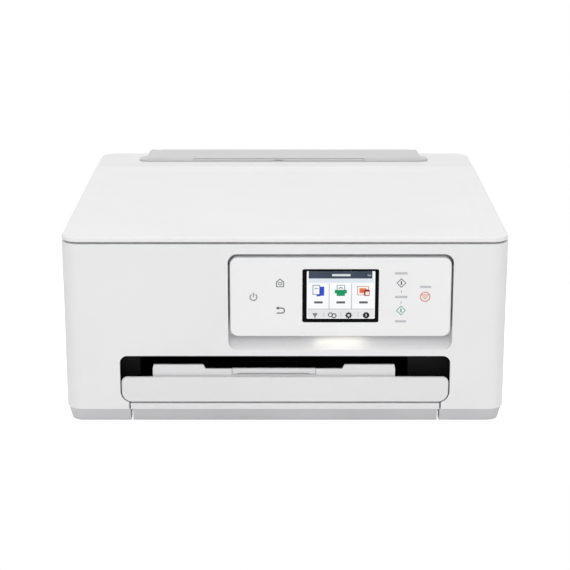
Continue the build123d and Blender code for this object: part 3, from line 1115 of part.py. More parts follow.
# ---- Purge unit -----------------------------------------------------------------------
PURGE_X = (TRAY_RIGHT + 5.0, ENGINE_HALF_WIDTH - 14.0)
CAP_TOP = NOSE_BOTTOM - CAP_LIFT - 0.4
CAP_X = (PURGE_X[0] + 4, PURGE_X[1] - 6)

with BuildPart() as purge_unit:
    purge_y = (NOSE_Y[0], NOSE_Y[1] + 4)
    block(PURGE_X, purge_y, (ROOF_TOP, CAP_TOP - 6))
    well_y = (purge_y[0] + 5, purge_y[1] - 8)
    block(CAP_X, well_y, (CAP_TOP - 20, CAP_TOP), mode=Mode.SUBTRACT)
    # Wiper blade behind the caps
    block(CAP_X, (purge_y[1] - 4, purge_y[1] - 3), (CAP_TOP - 7, CAP_TOP - 0.2))
purge_unit.part.label = "purge_unit"
export_step(purge_unit.part, "parts/purge_unit.step")

with BuildPart() as purge_caps:
    caps_x = (CAP_X[0] + RUN, CAP_X[1] - RUN)
    caps_y = (well_y[0] + RUN, well_y[1] - RUN)
    block(caps_x, caps_y, (CAP_TOP - 20 + RUN, CAP_TOP - 2))
    caps_middle = (caps_x[0] + caps_x[1]) / 2
    for cap in ((caps_x[0] + 1, caps_middle - 1), (caps_middle + 1, caps_x[1] - 1)):
        block(cap, (caps_y[0] + 2, caps_y[1] - 2), (CAP_TOP - 2, CAP_TOP))
        rim = 1.2
        block(
            (cap[0] + rim, cap[1] - rim),
            (caps_y[0] + 2 + rim, caps_y[1] - 2 - rim),
            (CAP_TOP - 1.5, CAP_TOP + 1),
            mode=Mode.SUBTRACT,
        )
purge_caps.part.label = "purge_caps"
export_step(purge_caps.part, "parts/purge_caps.step")

# ---- Paper path from the cassette -----------------------------------------------------
TURN_GUIDE_INNER = TURN_RADIUS + TURN_GUIDE_GAP
TURN_GUIDE_OUTER = TURN_GUIDE_INNER + TURN_GUIDE_WALL
CHEEK_LEFT = (PAPER_LEFT - 4.0, PAPER_LEFT - 2.0)
CHEEK_RIGHT = (PAPER_RIGHT + 2.0, PAPER_RIGHT + 4.0)
ARM_LENGTH = PICKUP_PIVOT_Y - PICKUP_Y

with BuildPart() as turn_roller:
    bar_x((CHEEK_LEFT[0] - 4, CHEEK_RIGHT[1] + 4), TURN_Y, TURN_Z, TURN_SHAFT)
    for place in (PAPER_CENTRE_X - 45, PAPER_CENTRE_X, PAPER_CENTRE_X + 45):
        bar_x((place - 11, place + 11), TURN_Y, TURN_Z, TURN_RADIUS)
turn_roller.part.label = "turn_roller"
export_step(turn_roller.part, "parts/turn_roller.step")

with BuildPart() as paper_guides:
    # Half round guide behind the turn roller, between two cheeks that carry its shaft
    with BuildSketch(Plane.YZ.offset(CHEEK_LEFT[0])):
        with Locations((TURN_Y, TURN_Z)):
            Circle(TURN_GUIDE_OUTER)
            Circle(TURN_GUIDE_INNER, mode=Mode.SUBTRACT)
        with Locations((TURN_Y - TURN_GUIDE_OUTER / 2 - 1, TURN_Z)):
            Rectangle(TURN_GUIDE_OUTER + 2, 2 * TURN_GUIDE_OUTER + 2, mode=Mode.SUBTRACT)
    extrude(amount=CHEEK_RIGHT[1] - CHEEK_LEFT[0])
    for cheek in (CHEEK_LEFT, CHEEK_RIGHT):
        bar_x(cheek, TURN_Y, TURN_Z, TURN_GUIDE_OUTER)
        block(cheek, (TURN_Y - 8, TURN_Y + 8), (ROOF_TOP, TURN_Z))
        bar_x(cheek, TURN_Y, TURN_Z, TURN_SHAFT + FIT, mode=Mode.SUBTRACT)
    # Flat guide from the turn roller to the feed roller, on two ribs
    flat_x = (PAPER_LEFT - 1, PAPER_RIGHT + 1)
    flat_y = (FEED_Y + ROLLER_RADIUS + 3, TURN_Y - TURN_GUIDE_OUTER - 2)
    block(flat_x, flat_y, (PAPER_LINE - 2.6, PAPER_LINE - 0.8))
    block(flat_x, (flat_y[0] + 4, flat_y[0] + 6), (ROOF_TOP, PAPER_LINE - 2))
    block(flat_x, (ENGINE_BACK - 9, ENGINE_BACK - 7), (ROOF_TOP, PAPER_LINE - 2))
paper_guides.part.label = "paper_guides"
export_step(paper_guides.part, "parts/paper_guides.step")

with BuildPart() as pickup_arm:
    bar_x((PICKUP_EAR_LEFT[0], PICKUP_EAR_RIGHT[1]), PICKUP_PIVOT_Y, PICKUP_PIVOT_Z, 2.5)
    slope = degrees(atan2(PICKUP_PIVOT_Z - PICKUP_Z, ARM_LENGTH))
    side_gap = 23.0
    for side in (PAPER_CENTRE_X - side_gap, PAPER_CENTRE_X + side_gap):
        with BuildSketch(Plane.YZ.offset(side - 1)):
            with Locations(Location(((PICKUP_PIVOT_Y + PICKUP_Y) / 2,
                                     (PICKUP_PIVOT_Z + PICKUP_Z) / 2), slope)):
                SlotCenterToCenter(hypot(ARM_LENGTH, PICKUP_PIVOT_Z - PICKUP_Z), 9)
            with Locations((PICKUP_Y, PICKUP_Z)):
                Circle(2 + FIT, mode=Mode.SUBTRACT)
        extrude(amount=2)
    block((PAPER_CENTRE_X - side_gap, PAPER_CENTRE_X + side_gap),
          (PICKUP_PIVOT_Y - 14, PICKUP_PIVOT_Y - 11), (PICKUP_PIVOT_Z - 6, PICKUP_PIVOT_Z))
pickup_arm.part.label = "pickup_arm"
export_step(pickup_arm.part, "parts/pickup_arm.step")

with BuildPart() as pickup_roller:
    bar_x((PAPER_CENTRE_X - 25, PAPER_CENTRE_X + 25), PICKUP_Y, PICKUP_Z, 2)
    for place in (PAPER_CENTRE_X - 11, PAPER_CENTRE_X + 11):
        bar_x((place - 9, place + 9), PICKUP_Y, PICKUP_Z, PICKUP_RADIUS)
pickup_roller.part.label = "pickup_roller"
export_step(pickup_roller.part, "parts/pickup_roller.step")

# ---- Rear tray ------------------------------------------------------------------------
CHUTE_TOP = (CHUTE_MOUTH_Y[1] - 3.6, DECK_TOP - WALL - 1.0)
CHUTE_FOOT = (FEED_Y + 86.0, PAPER_LINE + 9.0)
CHUTE_RUN = hypot(CHUTE_TOP[0] - CHUTE_FOOT[0], CHUTE_TOP[1] - CHUTE_FOOT[1])
CHUTE_UP = ((CHUTE_TOP[0] - CHUTE_FOOT[0]) / CHUTE_RUN, (CHUTE_TOP[1] - CHUTE_FOOT[1]) / CHUTE_RUN)
CHUTE_OUT = (-CHUTE_UP[1], CHUTE_UP[0])  # out of the paper face, to the front and up


def on_chute(along, out):
    """The (y, z) point at a share along the chute, and out from its paper face."""
    return (
        CHUTE_FOOT[0] + along * CHUTE_RUN * CHUTE_UP[0] + out * CHUTE_OUT[0],
        CHUTE_FOOT[1] + along * CHUTE_RUN * CHUTE_UP[1] + out * CHUTE_OUT[1],
    )


REAR_ROLLER = on_chute(0.1, REAR_ROLLER_RADIUS + RUN)
GUIDE_MIDDLE = on_chute(0.78, 0)
CHUTE_FACE = Plane(
    origin=(PAPER_CENTRE_X, GUIDE_MIDDLE[0], GUIDE_MIDDLE[1]),
    x_dir=(1, 0, 0),
    z_dir=(0, CHUTE_OUT[0], CHUTE_OUT[1]),
)
REAR_RACK_OFFSET = PINION_RADIUS + RUN + RACK_WIDTH / 2

with BuildPart() as rear_paper_chute:
    chute_x = (PAPER_LEFT - CHUTE_SIDE - 2, PAPER_RIGHT + CHUTE_SIDE + 2)
    back = CHUTE_WALL / CHUTE_UP[1]
    side_profile(
        chute_x,
        [CHUTE_FOOT, CHUTE_TOP, (CHUTE_TOP[0] + back, CHUTE_TOP[1]),
         (CHUTE_FOOT[0] + back, CHUTE_FOOT[1])],
    )
    # Cheeks that carry the rear feed roller and stand on the base
    for cheek in ((chute_x[0], chute_x[0] + 2), (chute_x[1] - 2, chute_x[1])):
        side_profile(
            cheek,
            [
                (CHUTE_FOOT[0] + back, ROOF_TOP),
                (CHUTE_FOOT[0] + back, CHUTE_FOOT[1]),
                (CHUTE_TOP[0] + back, CHUTE_TOP[1]),
                (CHUTE_TOP[0] - 21, CHUTE_TOP[1]),
                (REAR_ROLLER[0] + 14, REAR_ROLLER[1] + 26),
                (REAR_ROLLER[0] - 8, REAR_ROLLER[1]),
                (REAR_ROLLER[0] - 8, ROOF_TOP),
            ],
        )
        bar_x(cheek, *REAR_ROLLER, REAR_SHAFT + FIT, mode=Mode.SUBTRACT)
    # Pin of the width guides' pinion
    with BuildSketch(CHUTE_FACE.offset(-0.5)):
        Circle(PINION_PIN)
    extrude(amount=3.5)
rear_paper_chute.part.label = "rear_paper_chute"
export_step(rear_paper_chute.part, "parts/rear_paper_chute.step")

with BuildPart() as rear_feed_roller:
    bar_x((chute_x[0] - 2, chute_x[1] + 2), *REAR_ROLLER, REAR_SHAFT)
    for place in (PAPER_CENTRE_X - 40, PAPER_CENTRE_X + 40):
        bar_x((place - 12, place + 12), *REAR_ROLLER, REAR_ROLLER_RADIUS)
rear_feed_roller.part.label = "rear_feed_roller"
export_step(rear_feed_roller.part, "parts/rear_feed_roller.step")

with BuildPart() as rear_guide_left:
    plate_x = -PAPER_HALF - 0.8
    with BuildSketch(CHUTE_FACE.offset(RUN)):
        with Locations((plate_x, 0)):
            Rectangle(1.6, REAR_GUIDE_LENGTH)
    extrude(amount=REAR_GUIDE_HEIGHT)
    with BuildSketch(CHUTE_FACE.offset(RUN)):
        with Locations(((plate_x + RACK_REACH) / 2, REAR_RACK_OFFSET)):
            Rectangle(RACK_REACH - plate_x, RACK_WIDTH)
    extrude(amount=1.4)
rear_guide_left.part.label = "rear_guide_left"
export_step(rear_guide_left.part, "parts/rear_guide_left.step")

with BuildPart() as rear_guide_right:
    plate_x = PAPER_HALF + 0.8
    with BuildSketch(CHUTE_FACE.offset(RUN)):
        with Locations((plate_x, 0)):
            Rectangle(1.6, REAR_GUIDE_LENGTH)
    extrude(amount=REAR_GUIDE_HEIGHT)
    with BuildSketch(CHUTE_FACE.offset(RUN)):
        with Locations(((plate_x - RACK_REACH) / 2, -REAR_RACK_OFFSET)):
            Rectangle(RACK_REACH + plate_x, RACK_WIDTH)
    extrude(amount=1.4)
rear_guide_right.part.label = "rear_guide_right"
export_step(rear_guide_right.part, "parts/rear_guide_right.step")

with BuildPart() as rear_guide_pinion:
    with BuildSketch(CHUTE_FACE.offset(RUN)):
        Circle(PINION_RADIUS)
        with PolarLocations(PINION_RADIUS, 16):
            Circle(0.6, mode=Mode.SUBTRACT)
        Circle(PINION_PIN + FIT, mode=Mode.SUBTRACT)
    extrude(amount=1.4)
rear_guide_pinion.part.label = "rear_guide_pinion"
export_step(rear_guide_pinion.part, "parts/rear_guide_pinion.step")

SUPPORT_X = (SUPPORT_CENTRE_X - SUPPORT_WIDTH / 2, SUPPORT_CENTRE_X + SUPPORT_WIDTH / 2)
SUPPORT_Z = (HUMP_BOTTOM + 1.0, HUMP_BOTTOM + 2.4)
SUPPORT_DEPTH = HUMP_DEPTH - 8.0

with BuildPart() as rear_tray_cover:
    # A body with steep ends, and a thin wing at each front corner that reaches past it
    body_end = HUMP_WIDTH / 2 - HUMP_TAPER
    section = [
        (HUMP_WIDTH / 2, HUMP_BOTTOM),
        (HUMP_WIDTH / 2 - 1, HUMP_BOTTOM + HUMP_FLANGE),
        (body_end, HUMP_BOTTOM + HUMP_FLANGE + 0.5),
        (body_end - 2.5, HUMP_TOP),
    ]
    with BuildSketch(Plane.XZ.offset(-HUMP_FRONT)) as outline:
        with BuildLine():
            right = [(HUMP_CENTRE_X + x, z) for x, z in section]
            left = [(HUMP_CENTRE_X - x, z) for x, z in reversed(section)]
            Polyline(*right, *left, close=True)
        make_face()
    extrude(outline.sketch, amount=HUMP_DEPTH, dir=(0, 1, 0))
    # Its back edge is round about the pivot, and its front edge leans back
    with BuildSketch(Plane.YZ.offset(-HUMP_WIDTH)):
        with Locations((HUMP_PIVOT_Y, HUMP_PIVOT_Z)):
            Circle(HUMP_HEIGHT / 2)
        with BuildLine():
            Polyline(
                (HUMP_FRONT, HUMP_BOTTOM),
                (HUMP_FRONT + 0.4, HUMP_TOP - 1.5),
                (HUMP_FRONT + 1.8, HUMP_TOP),
                (HUMP_PIVOT_Y, HUMP_TOP),
                (HUMP_PIVOT_Y, HUMP_BOTTOM),
                close=True,
            )
        make_face()
    extrude(amount=2 * HUMP_WIDTH, mode=Mode.INTERSECT)
    with BuildSketch(Plane.XY.offset(HUMP_BOTTOM)):
        with Locations((HUMP_CENTRE_X, (HUMP_FRONT + HUMP_BACK) / 2)):
            RectangleRounded(2 * body_end, HUMP_DEPTH, HUMP_CORNER)
        with Locations((HUMP_CENTRE_X, HUMP_FRONT + HUMP_WING / 2)):
            RectangleRounded(HUMP_WIDTH, HUMP_WING, 0.45 * HUMP_WING)
    extrude(amount=HUMP_HEIGHT, mode=Mode.INTERSECT)
    # Cavity for the sliding paper support
    cavity_x = (SUPPORT_X[0] - RUN, SUPPORT_X[1] + RUN)
    block(cavity_x, (HUMP_FRONT - 1, HUMP_FRONT + SUPPORT_DEPTH + 1),
          (SUPPORT_Z[0] - RUN, SUPPORT_Z[1] + RUN), mode=Mode.SUBTRACT)
    block(cavity_x, (HUMP_FRONT - 1, HUMP_FRONT + 3),
          (HUMP_BOTTOM - 1, SUPPORT_Z[1] + RUN), mode=Mode.SUBTRACT)
    # Room for the deck's lugs, and the pins that turn in them
    for end in mirrored((LUG_SIDE - COVER_LUG - 0.4, LUG_SIDE + 0.4)):
        block(end, (HUMP_PIVOT_Y - HUMP_HEIGHT / 2 - 0.5, HUMP_BACK + 1),
              (HUMP_BOTTOM - 1, HUMP_TOP + 1), mode=Mode.SUBTRACT)
    for pin in mirrored((LUG_SIDE - COVER_LUG - 2, LUG_SIDE + 1)):
        bar_x(pin, HUMP_PIVOT_Y, HUMP_PIVOT_Z, COVER_PIN)
rear_tray_cover.part.label = "rear_tray_cover"
export_step(rear_tray_cover.part, "parts/rear_tray_cover.step")

with BuildPart() as paper_support:
    block(SUPPORT_X, (HUMP_FRONT + 0.4, HUMP_FRONT + SUPPORT_DEPTH), SUPPORT_Z)
    block(SUPPORT_X, (HUMP_FRONT + 0.4, HUMP_FRONT + 2.6), (HUMP_BOTTOM + 0.1, SUPPORT_Z[1]))
    # Thumb notch
    block((SUPPORT_CENTRE_X - 4, SUPPORT_CENTRE_X + 4), (HUMP_FRONT, HUMP_FRONT + 2),
          (HUMP_BOTTOM, SUPPORT_Z[0] + 0.4), mode=Mode.SUBTRACT)
paper_support.part.label = "paper_support"
export_step(paper_support.part, "parts/paper_support.step")

# ---- Rear wall and electrics ----------------------------------------------------------
with BuildPart() as rear_door:
    door_x = (REAR_DOOR_X[0] + REAR_DOOR_GAP, REAR_DOOR_X[1] - REAR_DOOR_GAP)
    block(door_x, (BACK - WALL, BACK), (DOOR_PIVOT_Z, REAR_DOOR_Z[1] - REAR_DOOR_GAP))
    bar_x(door_x, DOOR_PIVOT_Y, DOOR_PIVOT_Z, WALL / 2)
    bar_x((REAR_DOOR_X[0] - 2, REAR_DOOR_X[1] + 2), DOOR_PIVOT_Y, DOOR_PIVOT_Z, DOOR_PIN)
    # Ribs that carry on the paper guide, and a finger notch
    for place in ROLLER_PLACES:
        block((place - 0.8, place + 0.8), (BACK - WALL - 8, BACK - WALL),
              (DOOR_PIVOT_Z + 9, REAR_DOOR_Z[1] - 6))
    block((PAPER_CENTRE_X - 12, PAPER_CENTRE_X + 12), (BACK - 1, BACK + 1),
          (REAR_DOOR_Z[1] - 6, REAR_DOOR_Z[1]), mode=Mode.SUBTRACT)
rear_door.part.label = "rear_door"
export_step(rear_door.part, "parts/rear_door.step")

SUPPLY_Y = (ENGINE_BACK + 8.0, BACK - INLET_DEPTH)

with BuildPart() as power_inlet:
    with BuildSketch(REAR_FACE.offset(0.4)):
        with Locations((INLET_X, INLET_Z)):
            RectangleRounded(INLET_WIDTH - 0.4, INLET_HEIGHT - 0.4, 2.8)
    extrude(amount=INLET_DEPTH - 0.4)
    with BuildSketch(REAR_FACE):
        with Locations((INLET_X, INLET_Z)):
            SlotOverall(17, 9)
    extrude(amount=10.4, mode=Mode.SUBTRACT)
    with BuildSketch(REAR_FACE.offset(2)):
        with Locations((INLET_X - 4.3, INLET_Z), (INLET_X + 4.3, INLET_Z)):
            Circle(1.2)
    extrude(amount=9)
power_inlet.part.label = "power_inlet"
export_step(power_inlet.part, "parts/power_inlet.step")

with BuildPart() as power_supply:
    supply_x = (INLET_X - SUPPLY_SIDE, -CHANNEL_SIDE - WALL - 2)
    block(supply_x, SUPPLY_Y, (BASE_FLOOR, INLET_Z + 32))
    fillet(edges().filter_by(Axis.Z), 2)
power_supply.part.label = "power_supply"
export_step(power_supply.part, "parts/power_supply.step")

with BuildPart() as main_board:
    board_x = (USB_X - USB_WIDTH / 2 - 1.6, USB_X - USB_WIDTH / 2)
    board_y = (ENGINE_BACK + 8, BACK - hollow - 2)
    block(board_x, board_y, (BASE_FLOOR, ENGINE_TOP - 20))
    # Data port at the rear wall
    block((board_x[1] - 0.5, USB_X + USB_WIDTH / 2 - 0.6), (BACK - WALL - 16, BACK - WALL - 0.4),
          (USB_Z - USB_HEIGHT / 2 + 0.6, USB_Z + USB_HEIGHT / 2 - 0.6))
    block((USB_X - 4, USB_X + 4), (BACK - WALL - 12, BACK), (USB_Z - 4, USB_Z + 4),
          mode=Mode.SUBTRACT)
    # Processor, capacitors and a row of connectors
    chip = (board_x[1] - 0.2, board_x[1] + 2)
    block(chip, (board_y[0] + 30, board_y[0] + 48), (60, 78))
    block(chip, (board_y[0] + 12, board_y[0] + 22), (40, 56))
    for place in range(5):
        plug_y = board_y[0] + 8 + 16 * place
        block((board_x[1] - 0.2, board_x[1] + 6), (plug_y, plug_y + 11), (87, 93))
main_board.part.label = "main_board"
export_step(main_board.part, "parts/main_board.step")
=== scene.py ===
# An inkjet printer: finishes for its CAD parts, the marks on its operation panel, the
# picture on its display, and a table, lamps and a camera. Metres; X to the right seen
# from the front, Y to the back, Z up, the table at Z 0.
import json
import math

import bmesh
import bpy
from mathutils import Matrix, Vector


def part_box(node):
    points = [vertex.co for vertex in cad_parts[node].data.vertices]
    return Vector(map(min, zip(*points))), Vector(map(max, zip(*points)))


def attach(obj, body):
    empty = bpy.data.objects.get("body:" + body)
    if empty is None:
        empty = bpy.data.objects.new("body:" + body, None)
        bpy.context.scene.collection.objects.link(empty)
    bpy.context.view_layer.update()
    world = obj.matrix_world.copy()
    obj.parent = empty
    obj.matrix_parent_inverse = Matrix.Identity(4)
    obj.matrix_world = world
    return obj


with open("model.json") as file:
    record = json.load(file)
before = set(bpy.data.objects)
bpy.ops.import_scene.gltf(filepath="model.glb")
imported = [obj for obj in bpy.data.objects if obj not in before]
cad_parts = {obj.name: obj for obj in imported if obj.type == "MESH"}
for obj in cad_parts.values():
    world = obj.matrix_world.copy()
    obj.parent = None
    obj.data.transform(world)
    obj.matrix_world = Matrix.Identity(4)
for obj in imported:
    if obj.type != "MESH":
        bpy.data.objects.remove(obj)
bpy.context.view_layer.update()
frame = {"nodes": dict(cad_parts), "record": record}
nodes = frame["nodes"]
for loaded in bpy.context.selected_objects:
    loaded.select_set(False)

MM = 0.001


# ---- Small tools ----------------------------------------------------------------------
def ink(code):
    """A linear colour from an sRGB hex code."""
    parts = [int(code[i : i + 2], 16) / 255 for i in (0, 2, 4)]
    linear = [c / 12.92 if c <= 0.04045 else ((c + 0.055) / 1.055) ** 2.4 for c in parts]
    return (*linear, 1.0)


def add(tree, kind, inputs=None, **settings):
    """Adds a node with its settings; each input is a value or another node's output."""
    node = tree.nodes.new(kind)
    for name, value in settings.items():
        setattr(node, name, value)
    for socket, value in (inputs or {}).items():
        if isinstance(value, bpy.types.NodeSocket):
            tree.links.new(value, node.inputs[socket])
        else:
            node.inputs[socket].default_value = value
    return node


def finish(name, colour, roughness, **shader):
    """A material with its Principled shader, its node tree and its object coordinates."""
    material = bpy.data.materials.new(name)
    material.use_nodes = True
    tree = material.node_tree
    surface = tree.nodes["Principled BSDF"]
    surface.inputs["Base Color"].default_value = ink(colour)
    surface.inputs["Roughness"].default_value = roughness
    for socket, value in shader.items():
        surface.inputs[socket.replace("_", " ")].default_value = value
    place = add(tree, "ShaderNodeTexCoord").outputs["Object"]
    return material, tree, surface, place


def tint(tree, fac, dark, light, low=0.0, high=1.0):
    """A colour that goes from one hex tone to another as fac goes from low to high."""
    reach = {"Value": fac, "From Min": low, "From Max": high}
    share = add(tree, "ShaderNodeMapRange", reach).outputs["Result"]
    tones = {"Factor": share, 6: ink(dark), 7: ink(light)}
    return add(tree, "ShaderNodeMix", tones, data_type="RGBA").outputs[2]


def dress(tree, surface, tone=None, shine=None, relief=None, edge=None):
    """Gives the shader what varies over the surface. tone is its colour; shine is a factor
    and the roughness at its 0 and 1; relief is a height, its strength and its depth in
    millimetres, and it lies on the normals of edge."""
    if tone:
        tree.links.new(tone, surface.inputs["Base Color"])
    if shine:
        fac, low, high = shine
        reach = {"Value": fac, "To Min": low, "To Max": high}
        rough = add(tree, "ShaderNodeMapRange", reach).outputs["Result"]
        tree.links.new(rough, surface.inputs["Roughness"])
    if relief:
        height, strength, depth_mm = relief
        raised = {"Height": height, "Strength": strength, "Distance": depth_mm * MM}
        if edge:
            raised["Normal"] = edge
        bump = add(tree, "ShaderNodeBump", raised).outputs["Normal"]
        tree.links.new(bump, surface.inputs["Normal"])


# ---- Finishes -------------------------------------------------------------------------
MELT_FLOW = 90 * MM  # how wide a patch of one tone is in moulded plastic
HANDLING = 30 * MM  # how wide a patch of one shine is on it
SHINE_WANDER = 0.05  # how far its roughness strays to either side
MID_LOW, MID_HIGH = 0.3, 0.7  # nearly all the values of a noise lie between these


def moulded(name, dark, light, roughness, grain_mm, depth_mm, edge_mm=0.35, shot=None):
    """Injection-moulded plastic from a spark-eroded mould: a fine even grain that breaks up
    the shine, a tone that wanders by about one per cent where the melt flowed, and edges
    that the mould leaves just rounded. shot names an axis, the range along it in millimetres
    that a second shot of plastic fills, and the two tones of that plastic; where the tones
    outside that range are darker, they are painted shade."""
    material, tree, surface, place = finish(name, light, roughness)
    flow = add(
        tree, "ShaderNodeTexNoise", {"Vector": place, "Scale": 1 / MELT_FLOW, "Detail": 3.0}
    )
    tone = tint(tree, flow.outputs["Fac"], dark, light, MID_LOW, MID_HIGH)
    if shot:
        axis, start, end, shot_dark, shot_light = shot
        along = add(tree, "ShaderNodeSeparateXYZ", {"Vector": place}).outputs[axis]
        limits = {0: along, 1: (start + end) / 2 * MM, 2: (end - start) / 2 * MM}
        inside = add(tree, "ShaderNodeMath", limits, operation="COMPARE").outputs["Value"]
        second = tint(tree, flow.outputs["Fac"], shot_dark, shot_light, MID_LOW, MID_HIGH)
        shots = {"Factor": inside, 6: tone, 7: second}
        tone = add(tree, "ShaderNodeMix", shots, data_type="RGBA").outputs[2]
    grain = add(
        tree,
        "ShaderNodeTexNoise",
        {"Vector": place, "Scale": 1 / (grain_mm * MM), "Detail": 2.0, "Roughness": 0.6},
    )
    handled = add(
        tree, "ShaderNodeTexNoise", {"Vector": place, "Scale": 1 / HANDLING, "Detail": 4.0}
    )
    edge = add(tree, "ShaderNodeBevel", {"Radius": edge_mm * MM}, samples=6)
    dress(
        tree,
        surface,
        tone=tone,
        shine=(handled.outputs["Fac"], roughness - SHINE_WANDER, roughness + SHINE_WANDER),
        relief=(grain.outputs["Fac"], 0.35, depth_mm),
        edge=edge.outputs["Normal"],
    )
    return material


def pressed_zinc():
    """Hot-dip zinc-coated steel sheet: pale spangle crystals 4 mm across with a faint
    difference in tone, and rolling lines between them."""
    material, tree, surface, place = finish("zinc_coated_steel", "B7B9BC", 0.5, Metallic=1.0)
    spangle_size = 4 * MM
    spangle = add(tree, "ShaderNodeTexVoronoi", {"Vector": place, "Scale": 1 / spangle_size})
    crystal = add(tree, "ShaderNodeSeparateColor", {"Color": spangle.outputs["Color"]})
    # Lines 0.4 mm apart up the sheet that run on for 17 mm across it
    rolled = add(tree, "ShaderNodeMapping", {"Vector": place, "Scale": (60, 60, 2500)})
    lines = add(tree, "ShaderNodeTexNoise", {"Vector": rolled.outputs["Vector"], "Scale": 1.0})
    dress(
        tree,
        surface,
        tone=tint(tree, crystal.outputs["Red"], "B1B3B6", "BDBFC2"),
        shine=(crystal.outputs["Green"], 0.46, 0.52),
        relief=(lines.outputs["Fac"], 0.2, 0.01),
    )
    return material


def ground_rod():
    """Centreless-ground steel rod: near mirror, with grinding rings 0.8 mm apart round it."""
    material, tree, surface, place = finish("ground_steel", "B4B5B7", 0.16, Metallic=1.0)
    ring_pitch = 0.789545 * MM
    band = math.pi / 10  # from one ring to the next in this texture at scale 1
    wave = {"Vector": place, "Scale": band / ring_pitch, "Distortion": 3.0, "Detail": 2.0}
    rings = add(tree, "ShaderNodeTexWave", wave, bands_direction="X").outputs["Fac"]
    dress(tree, surface, shine=(rings, 0.12, 0.22), relief=(rings, 0.15, 0.005))
    return material


def ground_rubber(name, dark, light, roughness):
    """EPDM rubber with a ground face: a dull velvet black with a fine drag grain and a bloom
    of paper dust in patches about 8 mm wide."""
    material, tree, surface, place = finish(name, light, roughness)
    bloom_size, drag_size = 8 * MM, 0.5 * MM
    bloom = add(
        tree, "ShaderNodeTexNoise", {"Vector": place, "Scale": 1 / bloom_size, "Detail": 6.0}
    )
    drag = add(
        tree, "ShaderNodeTexNoise", {"Vector": place, "Scale": 1 / drag_size, "Detail": 3.0}
    )
    tone = tint(tree, bloom.outputs["Fac"], dark, light, 0.35, MID_HIGH)
    dress(tree, surface, tone=tone, relief=(drag.outputs["Fac"], 0.5, 0.03))
    return material


def natural_acetal():
    """Natural acetal: a waxy, faintly see-through white that glows a little at thin edges."""
    material, tree, surface, place = finish(
        "natural_acetal", "E6E5DE", 0.3, Subsurface_Weight=0.25, Subsurface_Scale=1.5 * MM
    )
    cloud_size = 6 * MM
    cloud = add(
        tree, "ShaderNodeTexNoise", {"Vector": place, "Scale": 1 / cloud_size, "Detail": 2.0}
    )
    tone = tint(tree, cloud.outputs["Fac"], "E1E0D8", "EBEAE4", MID_LOW, MID_HIGH)
    dress(tree, surface, tone=tone, shine=(cloud.outputs["Fac"], 0.24, 0.36))
    return material


def circuit_board():
    """Glass-fibre board under green solder resist: copper tracks 0.6 mm wide show through as
    a paler green, with bare tinned pads 1.2 mm across, about one in every 5 mm."""
    material, tree, surface, place = finish("solder_resist_board", "0F4A2B", 0.28)
    grid = 5 * MM
    upright = add(
        tree, "ShaderNodeMapping", {"Vector": place, "Rotation": (math.pi / 2, 0, 0)}
    )
    tracks = add(
        tree,
        "ShaderNodeTexBrick",
        {
            "Vector": upright.outputs["Vector"],
            "Scale": 1 / grid,
            "Mortar Size": 0.06,
            "Mortar Smooth": 0.1,
            "Brick Width": 1.7,
            "Row Height": 0.6,
            "Color1": ink("0F4A2B"),
            "Color2": ink("114F2F"),
            "Mortar": ink("2A7A4C"),
        },
    )
    dots = add(
        tree, "ShaderNodeTexVoronoi", {"Vector": place, "Scale": 1 / grid, "Randomness": 0.4}
    )
    pad = add(tree, "ShaderNodeMath", {0: dots.outputs["Distance"], 1: 0.12}, operation="LESS_THAN")
    tones = {"Factor": pad.outputs["Value"], 6: tracks.outputs["Color"], 7: ink("B9BBB4")}
    dress(
        tree,
        surface,
        tone=add(tree, "ShaderNodeMix", tones, data_type="RGBA").outputs[2],
        shine=(tracks.outputs["Fac"], 0.25, 0.4),
        relief=(tracks.outputs["Fac"], 0.4, 0.04),
    )
    return material


def pad_foam():
    """White skinned polyester foam: matt, with a soft dimple every 3 mm."""
    material, tree, surface, place = finish("skinned_foam", "EEEEEC", 0.85)
    dimple_pitch = 3 * MM
    dimples = add(tree, "ShaderNodeTexVoronoi", {"Vector": place, "Scale": 1 / dimple_pitch})
    depth = dimples.outputs["Distance"]
    dress(tree, surface, tone=tint(tree, depth, "E6E6E3", "F1F1EF"), relief=(depth, 0.4, 0.05))
    return material


def float_glass():
    """3 mm float glass: clear, with the faint green of its iron and wiping marks in its shine."""
    material, tree, surface, place = finish(
        "float_glass", "DCEBE6", 0.03, Transmission_Weight=1.0, IOR=1.52
    )
    wipe_size = 50 * MM
    wiped = add(
        tree, "ShaderNodeTexNoise", {"Vector": place, "Scale": 1 / wipe_size, "Detail": 5.0}
    )
    dress(tree, surface, shine=(wiped.outputs["Fac"], 0.015, 0.06))
    return material


def cover_window():
    """Touch screen window: hard-coated acrylic, black on its back, with a mirror-like face and
    the slightest smear of fingertips."""
    material, tree, surface, place = finish(
        "hard_coated_acrylic", "050506", 0.08, IOR=1.49, Specular_IOR_Level=0.06
    )
    fingertip = 12 * MM
    smear = add(
        tree, "ShaderNodeTexNoise", {"Vector": place, "Scale": 1 / fingertip, "Detail": 4.0}
    )
    tone = tint(tree, smear.outputs["Fac"], "040405", "070708", 0.4, MID_HIGH)
    dress(tree, surface, tone=tone, shine=(smear.outputs["Fac"], 0.05, 0.14))
    return material


def frosted_guide():
    """Frosted acrylic light guide, lit from inside by a warm white diode: its glow is mottled
    by frosting 1 mm across and spills into the hollow under the panel."""
    material, tree, surface, place = finish(
        "frosted_acrylic", "FBF6E6", 0.5, Emission_Strength=1.4
    )
    frost_size = 1 * MM
    frost = add(
        tree, "ShaderNodeTexNoise", {"Vector": place, "Scale": 1 / frost_size, "Detail": 2.0}
    )
    glow = tint(tree, frost.outputs["Fac"], "FFFAEC", "FFFDF4", MID_LOW, MID_HIGH)
    tree.links.new(glow, surface.inputs["Emission Color"])
    return material


